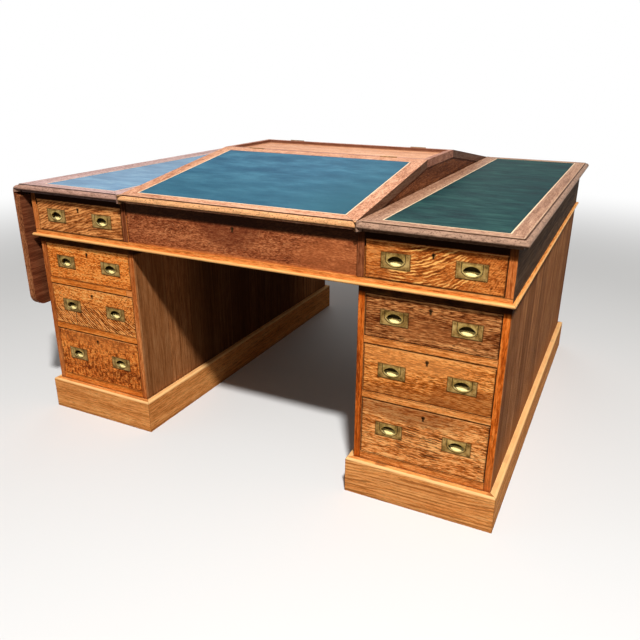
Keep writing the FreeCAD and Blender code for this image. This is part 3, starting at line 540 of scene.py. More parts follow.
def addTails(at, v, behind, inside, halfV, settings):  # bare wood, and the dovetails at the sides' ends
    count = max(2, round(2 * halfV / settings["tailPitch"]))
    pitch = (2 * halfV - settings["sideDrop"]) / count
    step = (v + halfV) / pitch
    fromMiddle = abs((step.math("FRACT", step) - 0.5) * pitch)
    flare = (settings["frontThickness"] - behind) * (settings["tailFlare"] / settings["tailLength"])
    halfTail = flare + (pitch / 2 - settings["tailRoom"])
    shown = (behind > settings["lapped"]) * (abs(at.faceX) > 0.5)
    joint = fromMiddle.near(halfTail, 0.15, 0.5) * shown * (1 - inside)
    return inside.larger((fromMiddle < halfTail) * shown), joint * 0.8


def drawerFace(name):  # middle of the face, half the size in mm, and 1 at the front or -1 at the back
    low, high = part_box(name)
    atBack = name.startswith("back")
    middle = Vector(((low.x + high.x) / 2, high.y if atBack else low.y, (low.z + high.z) / 2))
    return middle, (high - low) / 2 / mm, -1 if atBack else 1


def makeDrawerFinish(name, look, settings):
    middle, half, turn = drawerFace(name)
    at = Finish(name + "Oak", middle)
    u = at.x * turn
    v = at.z
    behind = at.y * turn  # distance behind the face
    flat = at.point(u, v, behind)
    wood = look["wood"]
    at.begin(flat, wood)
    if "mottle" in wood:
        addMottle(at, flat, wood)
    for number, ray in enumerate(look.get("rays", ())):
        addRays(at, u, v, ray, wood["seed"] + number * 3.7)
    for patch in look.get("patches", ()):
        addPatch(at, u, v, patch)
    if "crack" in look:
        crackU, crackV = look["crack"]
        wave = at.point(v, 0, 0).noise((9, 9, 9), 2, 0.6, 3.3) - 0.5
        split = abs(u - crackU + wave * 5).fall(0.5, 1.6) * v.fall(crackV - 2, crackV + 2)
        at.paint(split, settings["crack"])
        at.height = at.height - split * 2.0
    lift = handleSettings["lift"]
    addFrontWearAndShade(at, u, v - lift, half.x, half.z - lift, settings)
    # sides, back and bottom are bare
    inside = behind.rise(settings["frontThickness"], settings["frontThickness"] + 0.1)
    bare, joint = addTails(at, v, behind, inside, half.z, settings)
    at.paint(bare, bareOak(at.point(behind, v, u), wood["seed"] + 20))
    at.paint(joint, settings["glue"])
    at.close([name], rougher=inside * 0.15)


for name, look in drawerLooks.items():
    makeDrawerFinish(name, look, drawerSettings)
print("drawers finished:", len(drawerLooks))


# Pedestals: upright side boards, level rails between the drawers
pedestalSettings = {
    "inner": 375.25,      # inner faces of the side boards, from the desk's middle
    "outer": 710.75,
    "boards": 122.0,      # width of the boards in the sides
    "firstBoard": 20.3,   # where the row of them starts
    "bareTo": 650,        # the wood is bare this far from the middle, and on the backs of rails too
    "railBack": 590,
    "openings": (127.0, 293.0, 311.5, 447.5, 466.0, 582.0),  # edges of the rails
    "shaded": (574, 585),
    "stile": {"left": {"tones": ((134, 60, 22), (190, 102, 46), (228, 146, 84)),
                       "seed": 12.0, "dashes": 0.5, "dashRun": 16},
              "right": {"tones": ((124, 48, 12), (206, 96, 26), (242, 138, 58)),
                        "seed": 13.0, "dashes": 0.5, "dashRun": 16}},
    "rail": {"left": {"tones": ((170, 80, 24), (238, 130, 48), (252, 170, 88)),
                      "seed": 14.0, "dashes": 0.35, "dashRun": 12, "fine": 0.4},
             "right": {"tones": ((148, 74, 26), (222, 130, 58), (250, 174, 100)),
                       "seed": 15.0, "dashes": 0.45, "dashRun": 12, "fine": 0.4}},
    "side": {"tones": ((104, 56, 28), (166, 104, 60), (212, 148, 94)),
             "seed": 16.0, "run": 420, "dashes": 0.5, "dashRun": 60, "dashWidth": 3.0, "spread": 0.1},
    "kneehole": {"tones": ((124, 74, 38), (178, 112, 64), (212, 150, 98)),
                 "seed": 17.0, "run": 420, "dashes": 0.4, "dashRun": 40, "spread": 0.12},
    # dark paint for dirt, joints and painted shade
    "grimeAndShade": shade(38, 20, 10),
    "foot": (106, 116),
    "paleFoot": (120, 240),
    "pale": shade(196, 116, 60),
    # the kneehole's inner faces are painted in shade, fully within 250 mm of the middle and fading out
    # by 520
    "kneeholeShade": (250, 520),
    "mend": (447, 466.5, -398, -375.3),  # low, high, left, right
    "mendPaint": shade(236, 156, 92),
}


def makePedestalFinish(side, settings):
    at = Finish(side + "PedestalOak")
    out = abs(at.x)
    standing = at.point(at.z, at.y, out)
    onFront = abs(at.faceY) > 0.5
    onSide = abs(at.faceX) > 0.5
    inner = settings["inner"]
    outer = settings["outer"]
    at.begin(standing, settings["stile"][side])
    between = (out > inner) * (out < outer)
    at.paint(between, oakColour(at.point(out, at.z, at.y), settings["rail"][side]))

    # the sides are boards of several tones, jointed edge to edge
    bend = (at.point(at.z, 0, 0).noise((300, 1, 1), 1, 0.5, 2.0) - 0.5) * 8
    step = (at.y + bend) / settings["boards"] + settings["firstBoard"]
    board = step.math("FLOOR", step)
    tone = at.node("ShaderNodeTexWhiteNoise", {"noise_dimensions": "1D"}, {"W": board})
    seam = abs(step.math("FRACT", step) - 0.5).rise(0.494, 0.4985)
    shifted = at.point(at.z + board * 310, at.y, out)
    for look, where in ((settings["side"], out > outer), (settings["kneehole"], out < inner)):
        face = oakColour(shifted, look).tint(tone.rise(0.1, 1.0) * 0.5, darkest(look, 0.8))
        at.paint(where * onSide, face.tint(seam * 0.6, settings["grimeAndShade"]))
    at.paint(at.z.fall(*settings["paleFoot"]) * (out > outer) * 0.4, settings["pale"])
    # painted shade deep in the kneehole
    kneeholeShade = (out < inner) * onSide * abs(at.y).fall(*settings["kneeholeShade"])
    at.paint(kneeholeShade * 0.75, settings["grimeAndShade"])
    # inside, the wood is bare
    deep = (abs(at.y) < settings["bareTo"]) * (out > inner - 0.1) * (out < outer + 0.1)
    bare = deep * (1 - onFront * (abs(at.y) > settings["railBack"]))
    at.paint(bare, bareOak(standing, 51.0))

    uneven = at.here.noise((40, 40, 26), 3, 0.6, 3.0)
    joint = abs(out - inner).smaller(abs(out - outer)).fall(0.3, 0.9) * onFront
    # the top rail under the waist moulding is painted in shade
    grimeAndShade = at.z.rise(*settings["shaded"]) * (0.8 + uneven * 0.3)
    grimeAndShade = grimeAndShade.larger(at.z.fall(*settings["foot"]) * (0.1 + uneven * 0.8))
    grimeAndShade = grimeAndShade.larger(joint * 0.8)
    for edge in settings["openings"]:  # dirt and painted gap shade along the edges of the rails
        grimeAndShade = grimeAndShade.larger(at.z.near(edge, 0.6, 2.2) * between * onFront * (0.4 + uneven * 0.9))
    at.paint(grimeAndShade.smaller(1), settings["grimeAndShade"])
    if side == "left":  # a small piece let into the end of a rail
        low, high, left, right = settings["mend"]
        mend = (at.x > left) * (at.x < right) * (at.z > low) * (at.z < high) * onFront
        at.paint(mend * 0.45, settings["mendPaint"])
        at.paint(mend * at.x.near(left, 0.4, 1.3) * 0.8, settings["grimeAndShade"])
    at.close([side + "_pedestal"], rougher=0.1, specular=0.006)


# Plinths: pale oak boards with mitred corners and a rounded top edge, rubbed pale and painted with a
# highlight
plinthSettings = {
    "inner": 340.0,
    "outer": 746.0,
    "halfDepth": 671.0,
    "height": 106.0,
    "wood": {"tones": ((180, 104, 46), (228, 142, 72), (250, 180, 106)),
             "seed": 21.0, "run": 300, "dashes": 0.45, "dashRun": 22, "fine": 0.35, "spread": 0.12},
    # pale paint for the rubbed arris with its painted highlight, and for the painted light on the top
    # face
    "edge": shade(250, 198, 132),
    "line": shade(84, 48, 24),
    "figure": {"right": {"slope": 0.06, "length": 220, "spacing": 9.5, "wander": 40,
                         "wanderSize": (420, 60, 60), "shake": 1.0, "reach": (900, 900),
                         "light": (248, 188, 120), "even": 0.12, "dark": (150, 86, 40),
                         "lights": 0.35, "darks": 0.75, "darkTo": 0.44},
               "left": {"slope": 0.02, "length": 120, "spacing": 6, "wander": 30,
                        "wanderSize": (260, 60, 60), "shake": 1.5, "reach": (900, 900),
                        "light": (244, 180, 112), "even": 0.03, "dark": (166, 98, 50),
                        "lights": 0.3, "darks": 0.4, "darkTo": 0.46}},
}


def makePlinthFinish(side, settings):
    at = Finish(side + "PlinthOak")
    out = abs(at.x)
    fromSide = abs(out - settings["inner"]).smaller(abs(out - settings["outer"]))
    fromFront = settings["halfDepth"] - abs(at.y)
    grain = at.point(at.y, at.z, at.x).swap(fromFront < fromSide, at.point(at.x, at.z, at.y))
    at.begin(grain, settings["wood"])
    along, across = grain.parts()[:2]
    addRays(at, along, across, settings["figure"][side], 22.0)
    uneven = at.here.noise((50, 50, 12), 3, 0.6, 6.0)
    # the rounded arris: rubbed pale, with a painted highlight
    arris = abs(fromFront.smaller(fromSide) - 1.6).fall(1.6, 4.4)
    rubbedAndHighlit = at.z.rise(settings["height"] - 8, settings["height"] - 4) * arris * (0.6 + uneven * 0.5)
    at.paint(rubbedAndHighlit.smaller(1.0), settings["edge"])
    litLedge = (at.faceZ > 0.7) * (fromSide < fromFront) * (0.4 + uneven * 0.5)  # painted light on the top face along the sides
    at.paint(litLedge, settings["edge"])
    foot = at.z.fall(2, 14) * (0.1 + uneven * 0.5)
    mitre = fromFront.near(fromSide, 0.3, 1.0) * 0.75
    at.paint(foot.larger(mitre), settings["line"])
    at.close([side + "_plinth"], rougher=0.1, depth=0.3, specular=0.01)


for side in ("left", "right"):
    makePedestalFinish(side, pedestalSettings)
    makePlinthFinish(side, plinthSettings)
print("pedestals and plinths finished")


# Frieze: the case, the fixed panels between the drawers, the gables and the bearers
friezeSettings = {
    "divider": (357.0, 375.25),
    "end": 710.75,
    "floor": 622.6,
    "topRail": 700,       # where it starts
    "shaded": (704, 722),
    "bareTo": 650,
    "opening": (622.5, 721.5),
    "divider stile": {"tones": ((78, 34, 16), (122, 64, 36), (160, 94, 58)),
                      "seed": 31.0, "dashes": 0.4},
    "end stile": {"tones": ((144, 66, 24), (202, 110, 50), (232, 148, 82)),
                  "seed": 30.0, "dashes": 0.4},
    "rail": {"tones": ((170, 84, 28), (224, 132, 60), (248, 168, 92)),
             "seed": 32.0, "dashes": 0.35, "fine": 0.4},
    # the rail under the top's nosing is painted dark as shade
    "top rail in painted shade": {"tones": ((30, 13, 6), (46, 21, 10), (66, 33, 17)),
                 "seed": 29.0, "dashes": 0.4},
    # the end board is painted dark as the shade under the top's overhang
    "side": {"tones": ((54, 38, 26), (84, 62, 46), (122, 94, 70)),
             "seed": 33.0, "run": 420, "dashes": 0.4, "dashRun": 50},
    "grimeAndShade": shade(30, 16, 8),
}


def makeFriezeFinish(settings):
    at = Finish("friezeOak")
    out = abs(at.x)
    end = settings["end"]
    inner, outer = settings["divider"]
    onFront = (abs(at.faceY) > 0.5) * (at.z > settings["floor"])
    lying = at.point(at.x, at.z, at.y)
    standing = at.point(at.z, at.x, at.y)
    endwise = at.point(at.y, at.z, at.x)
    at.begin(lying, settings["rail"])
    # the top rail and the end boards are painted dark as shade
    for where, grain, look in (
            (at.z > settings["topRail"], lying, "top rail in painted shade"),
            ((out > inner) * (out < outer) * onFront, standing, "divider stile"),
            ((out > end) * onFront, standing, "end stile"),
            ((out > end) * (abs(at.faceY) < 0.5), endwise, "side")):
        at.paint(where, oakColour(grain, settings[look]))
    deep = (abs(at.y) < settings["bareTo"]) * (out < end + 0.1)
    at.paint(deep, bareOak(endwise, 52.0))
    uneven = at.here.noise((60, 60, 20), 3, 0.6, 3.0)
    # painted shade under the top's nosing, and dirt and painted gap shade along the drawer openings
    grimeAndShade = at.z.rise(*settings["shaded"]) * (0.5 + uneven * 0.5)
    for edge in settings["opening"]:
        grimeAndShade = grimeAndShade.larger(at.z.near(edge, 0.3, 1.6) * (out > inner) * (0.3 + uneven * 0.8))
    joint = abs(out - inner).smaller(abs(out - outer)).smaller(abs(out - end)).fall(0.3, 0.9) * onFront
    at.paint(grimeAndShade.larger(joint * 0.8).smaller(1), settings["grimeAndShade"])
    at.close(["frieze_case", "lopers"], rougher=0.1, specular=0.006)


panelSettings = {
    "wood": {"tones": ((90, 38, 18), (146, 74, 40), (202, 124, 76)),
             "seed": 34.0, "run": 40, "dashes": 0.5, "dashRun": 8, "dashWidth": 2.2, "fine": 0.45},
    "rays": {"slope": 0.4, "length": 14, "spacing": 5, "middle": (-60, 20), "reach": (330, 70),
             "wander": 60, "light": (212, 140, 90), "dark": (104, 48, 24),
             "lights": 0.55, "darks": 0.3, "lightFrom": 0.56, "even": 0.02},
    "patches": [((-10, 20), (100, 60), (100, 46, 26), 0.6),
                ((290, -30), (110, 60), (190, 106, 58), 0.4),
                ((-10, -64), (420, 12), (208, 118, 58), 0.6)],
    "middle": 681.0,
    "keyhole": 701.0,
    "shaded": (702, 714),
    "ends": (351, 357),
    "grimeAndShade": shade(34, 18, 10),
}


def makePanelFinish(settings):
    at = Finish("centrePanelOak")
    v = at.z - settings["middle"]
    at.begin(at.point(at.x, v, at.y), settings["wood"])
    addRays(at, at.x, v, settings["rays"], 35.0)
    for patch in settings["patches"]:
        addPatch(at, at.x, v, patch)
    uneven = at.here.noise((60, 60, 20), 3, 0.6, 3.0)
    ends = abs(at.x).rise(*settings["ends"]) * (0.4 + uneven * 0.5)
    # painted shade under the lid's nosing, darker ends, and dirt and painted shade at the keyhole
    grimeAndShade = (at.z.rise(*settings["shaded"]) * 0.9).larger(ends)
    grimeAndShade = grimeAndShade.larger(keyholeDirtAndShade(at.x, at.z - settings["keyhole"], keyholeSettings))
    at.paint(grimeAndShade, settings["grimeAndShade"])
    at.close(["centre_panels"])


gableSettings = {
    "wood": {"tones": ((64, 30, 14), (108, 58, 32), (154, 94, 58)),
             "seed": 36.0, "run": 120, "dashes": 0.45, "fine": 0.4},
    "innerFace": 350,
    "topUnderside": 738.0,  # below this height the gable is inside the desk
}


def makeGableFinish(settings):
    at = Finish("gableOak")
    grain = at.point(at.y, at.z, at.x)
    at.begin(grain, settings["wood"])
    within = (abs(at.x) < settings["innerFace"]).larger(at.z < settings["topUnderside"])
    at.paint(within, bareOak(grain, 53.0))
    at.close(["cheeks"])


# Waist moulding, rubbed pale and painted with a highlight on its nose, and painted with shade along its
# bottom edge
waistSettings = {
    "half": (738.0, 675.0),
    "low": 602.0,
    "wood": {"tones": ((170, 92, 38), (222, 140, 68), (246, 176, 100)),
             "seed": 37.0, "run": 300, "dashes": 0.35, "dashRun": 30, "fine": 0.35},
    "rubbedAndHighlit": shade(250, 194, 122),
    "grimeAndShade": shade(50, 26, 12),
}


def makeWaistFinish(settings):
    at = Finish("waistOak")
    fromSide = settings["half"][0] - abs(at.x)
    fromFront = settings["half"][1] - abs(at.y)
    grain = at.point(at.y, at.z, at.x).swap(fromFront < fromSide, at.point(at.x, at.z, at.y))
    at.begin(grain, settings["wood"])
    uneven = grain.noise((70, 8, 8), 3, 0.6, 6.0)
    # the nose: rubbed pale, with a painted highlight
    nose = fromSide.smaller(fromFront).fall(0.8, 4.2) * (0.25 + uneven * 0.65)
    at.paint(nose.smaller(1.0), settings["rubbedAndHighlit"])
    mitre = fromFront.near(fromSide, 0.3, 1.0) * 0.7
    # the bottom edge is painted dark as shade
    under = at.z.fall(settings["low"], settings["low"] + 2.5) * 0.7
    at.paint(mitre.larger(under), settings["grimeAndShade"])
    at.close(["waist_moulding"])


makeFriezeFinish(friezeSettings)
makePanelFinish(panelSettings)
makeGableFinish(gableSettings)
makeWaistFinish(waistSettings)
print("frieze and waist moulding finished")


# Top frames and lids: mitred members with a pale line where they meet the leather
frameSettings = {
    "left": {"half": (204.75, 692.0), "middle": -566.25, "leafSide": 89.0,
             "wood": {"tones": ((150, 112, 104), (196, 156, 148), (226, 192, 184)),
                      "seed": 61.0, "run": 90, "dashes": 0.45, "dashRun": 12, "fine": 0.4},
             "nose": shade(172, 130, 108)},
    "right": {"half": (195.75, 692.0), "middle": 557.25,
              "wood": {"tones": ((124, 84, 62), (172, 126, 98), (214, 170, 138)),
                       "seed": 62.0, "run": 90, "dashes": 0.5, "dashRun": 12, "fine": 0.4},
              "nose": shade(166, 132, 110)},
    "lid": {"half": 359.0, "axis": 145.35, "length": 552.6, "slope": math.radians(8.51),
            "wood": {"tones": ((146, 86, 58), (204, 140, 104), (238, 182, 146)),
                     "seed": 63.0, "run": 100, "dashes": 0.4, "dashRun": 14, "fine": 0.4},
            "nose": shade(228, 167, 111)},
    "flatWidth": 50.0,
    "lidWidth": 43.0,
    "quirk": 12.0,
    "line": shade(246, 214, 174),
    "lineWidth": 3.4,
    "grimeAndShade": shade(44, 24, 14),
}


def addTopDetail(at, inset, lineInset, nose, settings):
    # inset is the distance in from the edge, lineInset that from the leather
    uneven = at.here.noise((30, 30, 12), 3, 0.6, 8.0)
    spots = at.here.noise((9, 9, 9), 3, 0.7, 5.0).rise(0.6, 0.7)
    streaks = at.here.noise((26, 26, 5), 3, 0.6, 11.0).rise(0.46, 0.6)
    onTop = at.faceZ > 0.5
    at.paint(spots * 0.3, settings["grimeAndShade"])
    onNose = inset.fall(settings["quirk"] - 1.6, settings["quirk"] - 0.6)
    at.paint(onNose * 0.8, nose)
    at.paint(onNose * streaks * 0.55, dimmed(nose, 0.5))
    fromQuirk = inset - settings["quirk"]
    # dirt and painted shade in the quirk
    at.paint(abs(fromQuirk).fall(1.0, 2.2) * 0.75, settings["grimeAndShade"])
    # beside the quirk, the rubbed arris with a painted highlight
    pale = fromQuirk.near(3.4, 0.3, 1.3) * (0.1 + uneven * 0.5) * onTop
    at.paint(pale, settings["line"])
    # faces that point down are painted in shade
    at.paint(at.faceZ.fall(-0.7, 0.1) * 0.85, settings["grimeAndShade"])
    flecks = at.here.noise((5, 5, 2.6), 2, 0.6, 14.0).rise(0.55, 0.65) * onNose
    at.paint(flecks * 0.6, settings["grimeAndShade"])
    line = lineInset.fall(settings["lineWidth"] - 0.5, settings["lineWidth"]) * onTop
    at.paint((line * (0.7 + uneven * 0.4)).smaller(1), settings["line"])
    at.rough = at.rough + spots * 0.1


def makeFlatFinish(side, settings):
    flat = settings[side]
    width = settings["flatWidth"]
    leafSide = flat.get("leafSide", width)
    at = Finish(side + "TopOak")
    fromFront = flat["half"][1] - abs(at.y)
    fromRight = flat["half"][0] - (at.x - flat["middle"])
    fromLeft = flat["half"][0] + (at.x - flat["middle"])
    fromSide = fromRight.smaller(fromLeft * (width / leafSide))  # even where a member is wider
    grain = at.point(at.y, at.x, at.z).swap(fromFront < fromSide, at.here)
    at.begin(grain, flat["wood"])
    at.paint(fromFront.near(fromSide, 0.3, 1.1) * 0.8, settings["grimeAndShade"])
    lineInset = (width - fromFront).larger(width - fromRight).larger(leafSide - fromLeft)
    # the edge without a nosing is the one beside the lid, and at the left the one beside the leaf
    moulded = fromFront.smaller(fromRight) if side == "right" else fromFront
    addTopDetail(at, moulded, lineInset, flat["nose"], settings)
    at.close([side + "_top"])


def makeLidFinish(settings):
    lid = settings["lid"]
    at = Finish("lidOak")
    down = (abs(at.y) - lid["axis"]) / math.cos(lid["slope"])
    fromFront = lid["length"] - down
    fromEnds = fromFront.smaller(down)
    fromSide = lid["half"] - abs(at.x)
    grain = at.point(down, at.x, at.z).swap(fromEnds < fromSide, at.point(at.x, down, at.z))
    at.begin(grain, lid["wood"])
    at.paint(fromEnds.near(fromSide, 0.3, 1.1) * 0.8, settings["grimeAndShade"])
    lineInset = settings["lidWidth"] - fromEnds.smaller(fromSide)
    addTopDetail(at, fromFront, lineInset, lid["nose"], settings)
    # the lid's side edges are painted in shade
    at.paint((abs(at.faceX) > 0.7) * 0.78, settings["grimeAndShade"])
    at.close(["front_lid", "back_lid"])


traySettings = {
    "half": (343.0, 129.1),   # inner faces of the rim
    "rimHeight": 842.0,
    "under": 825.0,
    "wallBand": (-5, -1),
    "rim": {"tones": ((126, 76, 54), (174, 116, 92), (212, 154, 124)),
            "seed": 64.0, "run": 160, "dashes": 0.4, "fine": 0.35},
    "floor": {"tones": ((180, 112, 74), (220, 154, 112), (244, 190, 150)),
              "seed": 65.0, "run": 200, "dashes": 0.3, "fine": 0.35},
    # painted shade on the rim's inner walls and undersides
    "shadedWall": shade(96, 52, 32),
}


def makeTrayFinish(settings):
    at = Finish("trayOak")
    at.begin(at.here, settings["rim"])
    past = outside(at.x, at.y, *settings["half"])
    above = at.z > settings["under"]
    at.paint(past.fall(-0.6, 0.1) * above, oakColour(at.here, settings["floor"]))
    # the rim's inner walls and the faces that point down are painted in shade
    shadedWall = past.rise(*settings["wallBand"]) * (at.z < settings["rimHeight"] - 0.3) * above * (past < 0.2)
    at.paint((shadedWall * 0.8).larger(at.faceZ.fall(-0.6, 0.1) * 0.6), settings["shadedWall"])
    at.close(["pen_tray"])


leafSettings = {
    # the inner face is painted dark as the shade it lies in
    "wood": {"tones": ((76, 36, 20), (104, 56, 34), (134, 80, 52)),
             "seed": 66.0, "run": 300, "dashes": 0.3, "dashRun": 40, "flecks": 0.15},
    "edge": {"tones": ((88, 42, 20), (140, 80, 46), (184, 120, 78)),
             "seed": 67.0, "run": 30, "dashes": 0.5, "dashRun": 7, "dashWidth": 3.4, "fine": 0.45},
}


def makeLeafFinish(settings, topWood):
    at = Finish("leafOak")
    grain = at.point(at.y, at.z, at.x)
    at.begin(grain, settings["wood"])
    # the outer face is the top once it is raised
    at.paint(at.faceX < -0.6, oakColour(grain, dict(topWood, seed=68.0)))
    at.paint(abs(at.faceX) < 0.6, oakColour(at.point(at.z, at.x, at.y), settings["edge"]))
    at.close(["drop_leaf"])


for side in ("left", "right"):
    makeFlatFinish(side, frameSettings)
makeLidFinish(frameSettings)
makeTrayFinish(traySettings)
makeLeafFinish(leafSettings, frameSettings["left"]["wood"])
print("tops, lids, tray and leaf finished")


# Cupboard doors at the back
doorSettings = {
    "stile": 84.0,
    "rail": 70.0,
    "bevel": 6,
    "wood": {"tones": ((138, 72, 32), (184, 106, 52), (216, 138, 78)),
             "seed": 71.0, "run": 300, "dashes": 0.35},
    "panel": {"tones": ((130, 70, 32), (176, 104, 54), (212, 140, 82)),
              "seed": 74.0, "run": 360, "dashes": 0.35},
    "rays": {"slope": 2.2, "length": 60, "spacing": 9, "reach": (60, 170), "wander": 50,
             "light": (236, 164, 98), "dark": (120, 62, 26), "lights": 0.5, "darks": 0.4},
    "grimeAndShade": shade(50, 26, 12),
}


def makeDoorFinish(side, settings):
    name = side + "_cupboard_door"
    low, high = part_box(name)
    half = (high - low) / 2 / mm
    at = Finish(side + "DoorOak", (low + high) / 2)
    fromSide = half.x - abs(at.x)
    fromEnd = half.z - abs(at.z)
    inStile = fromSide < settings["stile"]
    inRail = (fromEnd < settings["rail"]) * (1 - inStile)
    standing = at.point(at.z, at.x, at.y)
    lying = at.point(at.x, at.z, at.y)
    at.begin(standing, settings["panel"])
    addRays(at, at.x, at.z, settings["rays"], 72.0)
    at.paint(inStile, oakColour(standing, settings["wood"]))
    at.paint(inRail, oakColour(lying, settings["wood"]))
    joint = fromSide.near(settings["stile"], 0.3, 0.9)
    uneven = lying.noise((20, 20, 10), 3, 0.6, 2.0)
    grimeAndShade = (joint * 0.7).larger(fromSide.smaller(fromEnd).fall(0.5, 5) * (0.2 + uneven * 0.6))
    opening = (settings["stile"] - fromSide).larger(settings["rail"] - fromEnd)
    grimeAndShade = grimeAndShade.larger(abs(opening + settings["bevel"]).fall(2, 9) * (0.15 + uneven * 0.5))
    at.paint(grimeAndShade, settings["grimeAndShade"])
    at.close([name])


for side in ("left", "right"):
    makeDoorFinish(side, doorSettings)
print("doors finished")


# Leathers
leatherSettings = {
    # the right flat's leather is dark green; the lid and the left flat are paler and bluer with a
    # painted reflection
    "right": ((8, 36, 40), (22, 58, 58), (48, 86, 80)),
    "lid": ((40, 85, 112), (58, 105, 130), (80, 131, 153)),
    "left": ((60, 112, 148), (84, 134, 170), (120, 166, 192)),
    "lidDarkerForward": (260, 620),    # forward of the tray
    "lidDarkerRight": (60, 330),
    "lidTo": 340,
    "leftTo": -400,
    "lidDarker": shade(44, 90, 104),  # the lid's leather, darker and greener towards its front and its right
    "crease": shade(14, 34, 40),
    "scuff": shade(130, 164, 168),
    "grainSize": 1.3,
    "polish": 0.45,  # the left flat is the shiniest
}


def makeLeatherFinish(name, looks, names, settings):
    at = Finish(name)
    clouds = at.here.noise((150, 52, 80), 4, 0.62, 4.0)
    smears = at.here.noise((60, 14, 40), 4, 0.7, 9.0)
    tone = clouds * 0.65 + smears * 0.35
    dyes = [tone.ramp(settings[look], (0.36, 0.5, 0.66)) for look in looks]
    at.colour = dyes[0] if len(dyes) == 1 else dyes[0].tint(at.x < 0, dyes[1])
    lidDarker = abs(at.y).rise(*settings["lidDarkerForward"]) * 0.45 + at.x.rise(*settings["lidDarkerRight"]) * 0.4
    at.paint(lidDarker * (abs(at.x) < settings["lidTo"]), settings["lidDarker"])
    cells = at.node("ShaderNodeTexVoronoi", {"feature": "DISTANCE_TO_EDGE"},
                    {"Vector": at.here, "Scale": 1 / settings["grainSize"]})
    creases = cells.fall(0.02, 0.2)
    at.paint(creases * 0.18, settings["crease"])
    scuffs = at.here.noise((3, 40, 10), 2, 0.6, 2.0).rise(0.66, 0.74)
    at.paint(scuffs * 0.12, settings["scuff"])
    at.rough = 0.4 + clouds * 0.16 + scuffs * 0.1
    at.height = tone * 0.6 - creases * 0.35
    at.close(names, depth=0.12, specular=0.01, coat=(at.x < settings["leftTo"]) * settings["polish"])


makeLeatherFinish("flatLeather", ["right", "left"], ["top_leathers"], leatherSettings)
makeLeatherFinish("lidLeather", ["lid"], ["front_lid_leather", "back_lid_leather"], leatherSettings)
print("leathers finished")


# Brass
brassSettings = {
    "plate": ((99, 73, 33), (154, 119, 65), (192, 160, 99)),
    "bail": ((106, 80, 36), (160, 130, 70), (202, 172, 106)),
    "hinge": ((92, 66, 38), (136, 102, 62), (176, 138, 92)),
    "liner": ((40, 28, 14), (66, 48, 24), (104, 78, 42)),
    # painted shade in the finger bowl, and pale paint for rubbing with a painted highlight
    "paintedBowlShade": shade(44, 34, 12),
    "rubbedAndHighlit": shade(246, 224, 152),
    # dark paint for dirt and painted shade
    "dirtAndShade": shade(30, 20, 6),
    "handleX": 543.0,        # middle of a drawer
    "levels": ((295.0, 169.5), (452.0, 144.5), (600.0, 148.0)),  # above this height, this much higher
    "lowest": 210.0,
    "doorHandle": (418.5, 394.5),
    "bailCorner": (13.5, 1.5, 10.5),   # middle and radius of a corner
    "bailBottom": (15.3, 29.8),        # height of the middle and radius of the bottom arc
    "finger": (20.5, 11.7),
    "face": 652.5,           # the fronts stand this far out
    "friezeFrom": 600,       # and those above this height further
    "friezeForward": 12,
    "holeDepth": 3.0,
    "bowlHalf": (22, 13),
    "rubbedAndHighlitBelow": (-6.0, -2.5),
}


def handlePlace(at, onDoor, settings):  # across and up from the middle of the nearest handle
    if onDoor:
        return abs(at.x) - settings["doorHandle"][0], at.z - settings["doorHandle"][1]
    middle = settings["lowest"]
    for height, rise in settings["levels"]:
        middle = (at.z > height) * rise + middle
    return abs(abs(at.x) - settings["handleX"]) - handleSettings["spacing"], at.z - middle


def addHandleWearAndShade(at, dirtAndShade, u, v, settings):
    # the gap round the bail is painted dark as shade
    cornerU, cornerV, cornerRadius = settings["bailCorner"]
    bottomV, bottomRadius = settings["bailBottom"]
    corner = (abs(u) - cornerU).larger(0).distance((cornerV - v).larger(0)) - cornerRadius
    drop = bottomV - v
    bottom = u.distance(drop) - bottomRadius
    inCorner = abs(u) > drop * (cornerU / (bottomV - cornerV))
    below = v < cornerV
    around = (corner * inCorner + bottom * (1 - inCorner)) * below + corner * (1 - below)
    dirtAndShade = dirtAndShade.larger(around.near(0.3, 0.5, 1.3) * 0.85)
    # the finger hole: painted shade above, where the bail hides it, and a painted highlight, with
    # rubbing, below
    hole = (u / settings["finger"][0]).distance(v / settings["finger"][1]).fall(0.97, 1.05)
    face = settings["face"] + (at.z > settings["friezeFrom"]) * settings["friezeForward"]
    bowl = (face - abs(at.y) > settings["holeDepth"]) * (outside(u, v, *settings["bowlHalf"]) < 0)
    low = v.fall(*settings["rubbedAndHighlitBelow"])
    at.paint(hole * low * 0.7, settings["rubbedAndHighlit"])
    at.paint(bowl, settings["paintedBowlShade"])
    at.paint(bowl * low, settings["rubbedAndHighlit"])
    # dirt round the screws and the plate's edges, and painted shadow along the plate's bottom edge
    screwU, screwV = handleSettings["screwPlaces"]
    ring = abs(abs(u) - screwU).distance(abs(abs(v) - screwV))
    dirtAndShade = dirtAndShade.larger(ring.fall(2.2, 3.4) * 0.75)
    halfU, halfV = handleSettings["plateHalf"]
    rim = outside(u, v, halfU, halfV) * -1
    dirtAndShade = dirtAndShade.larger(rim.fall(0.2, 1.6) * 0.6).larger((v + halfV).fall(0.6, 2.6) * 0.85)
    return dirtAndShade, 1 - bowl * 0.95


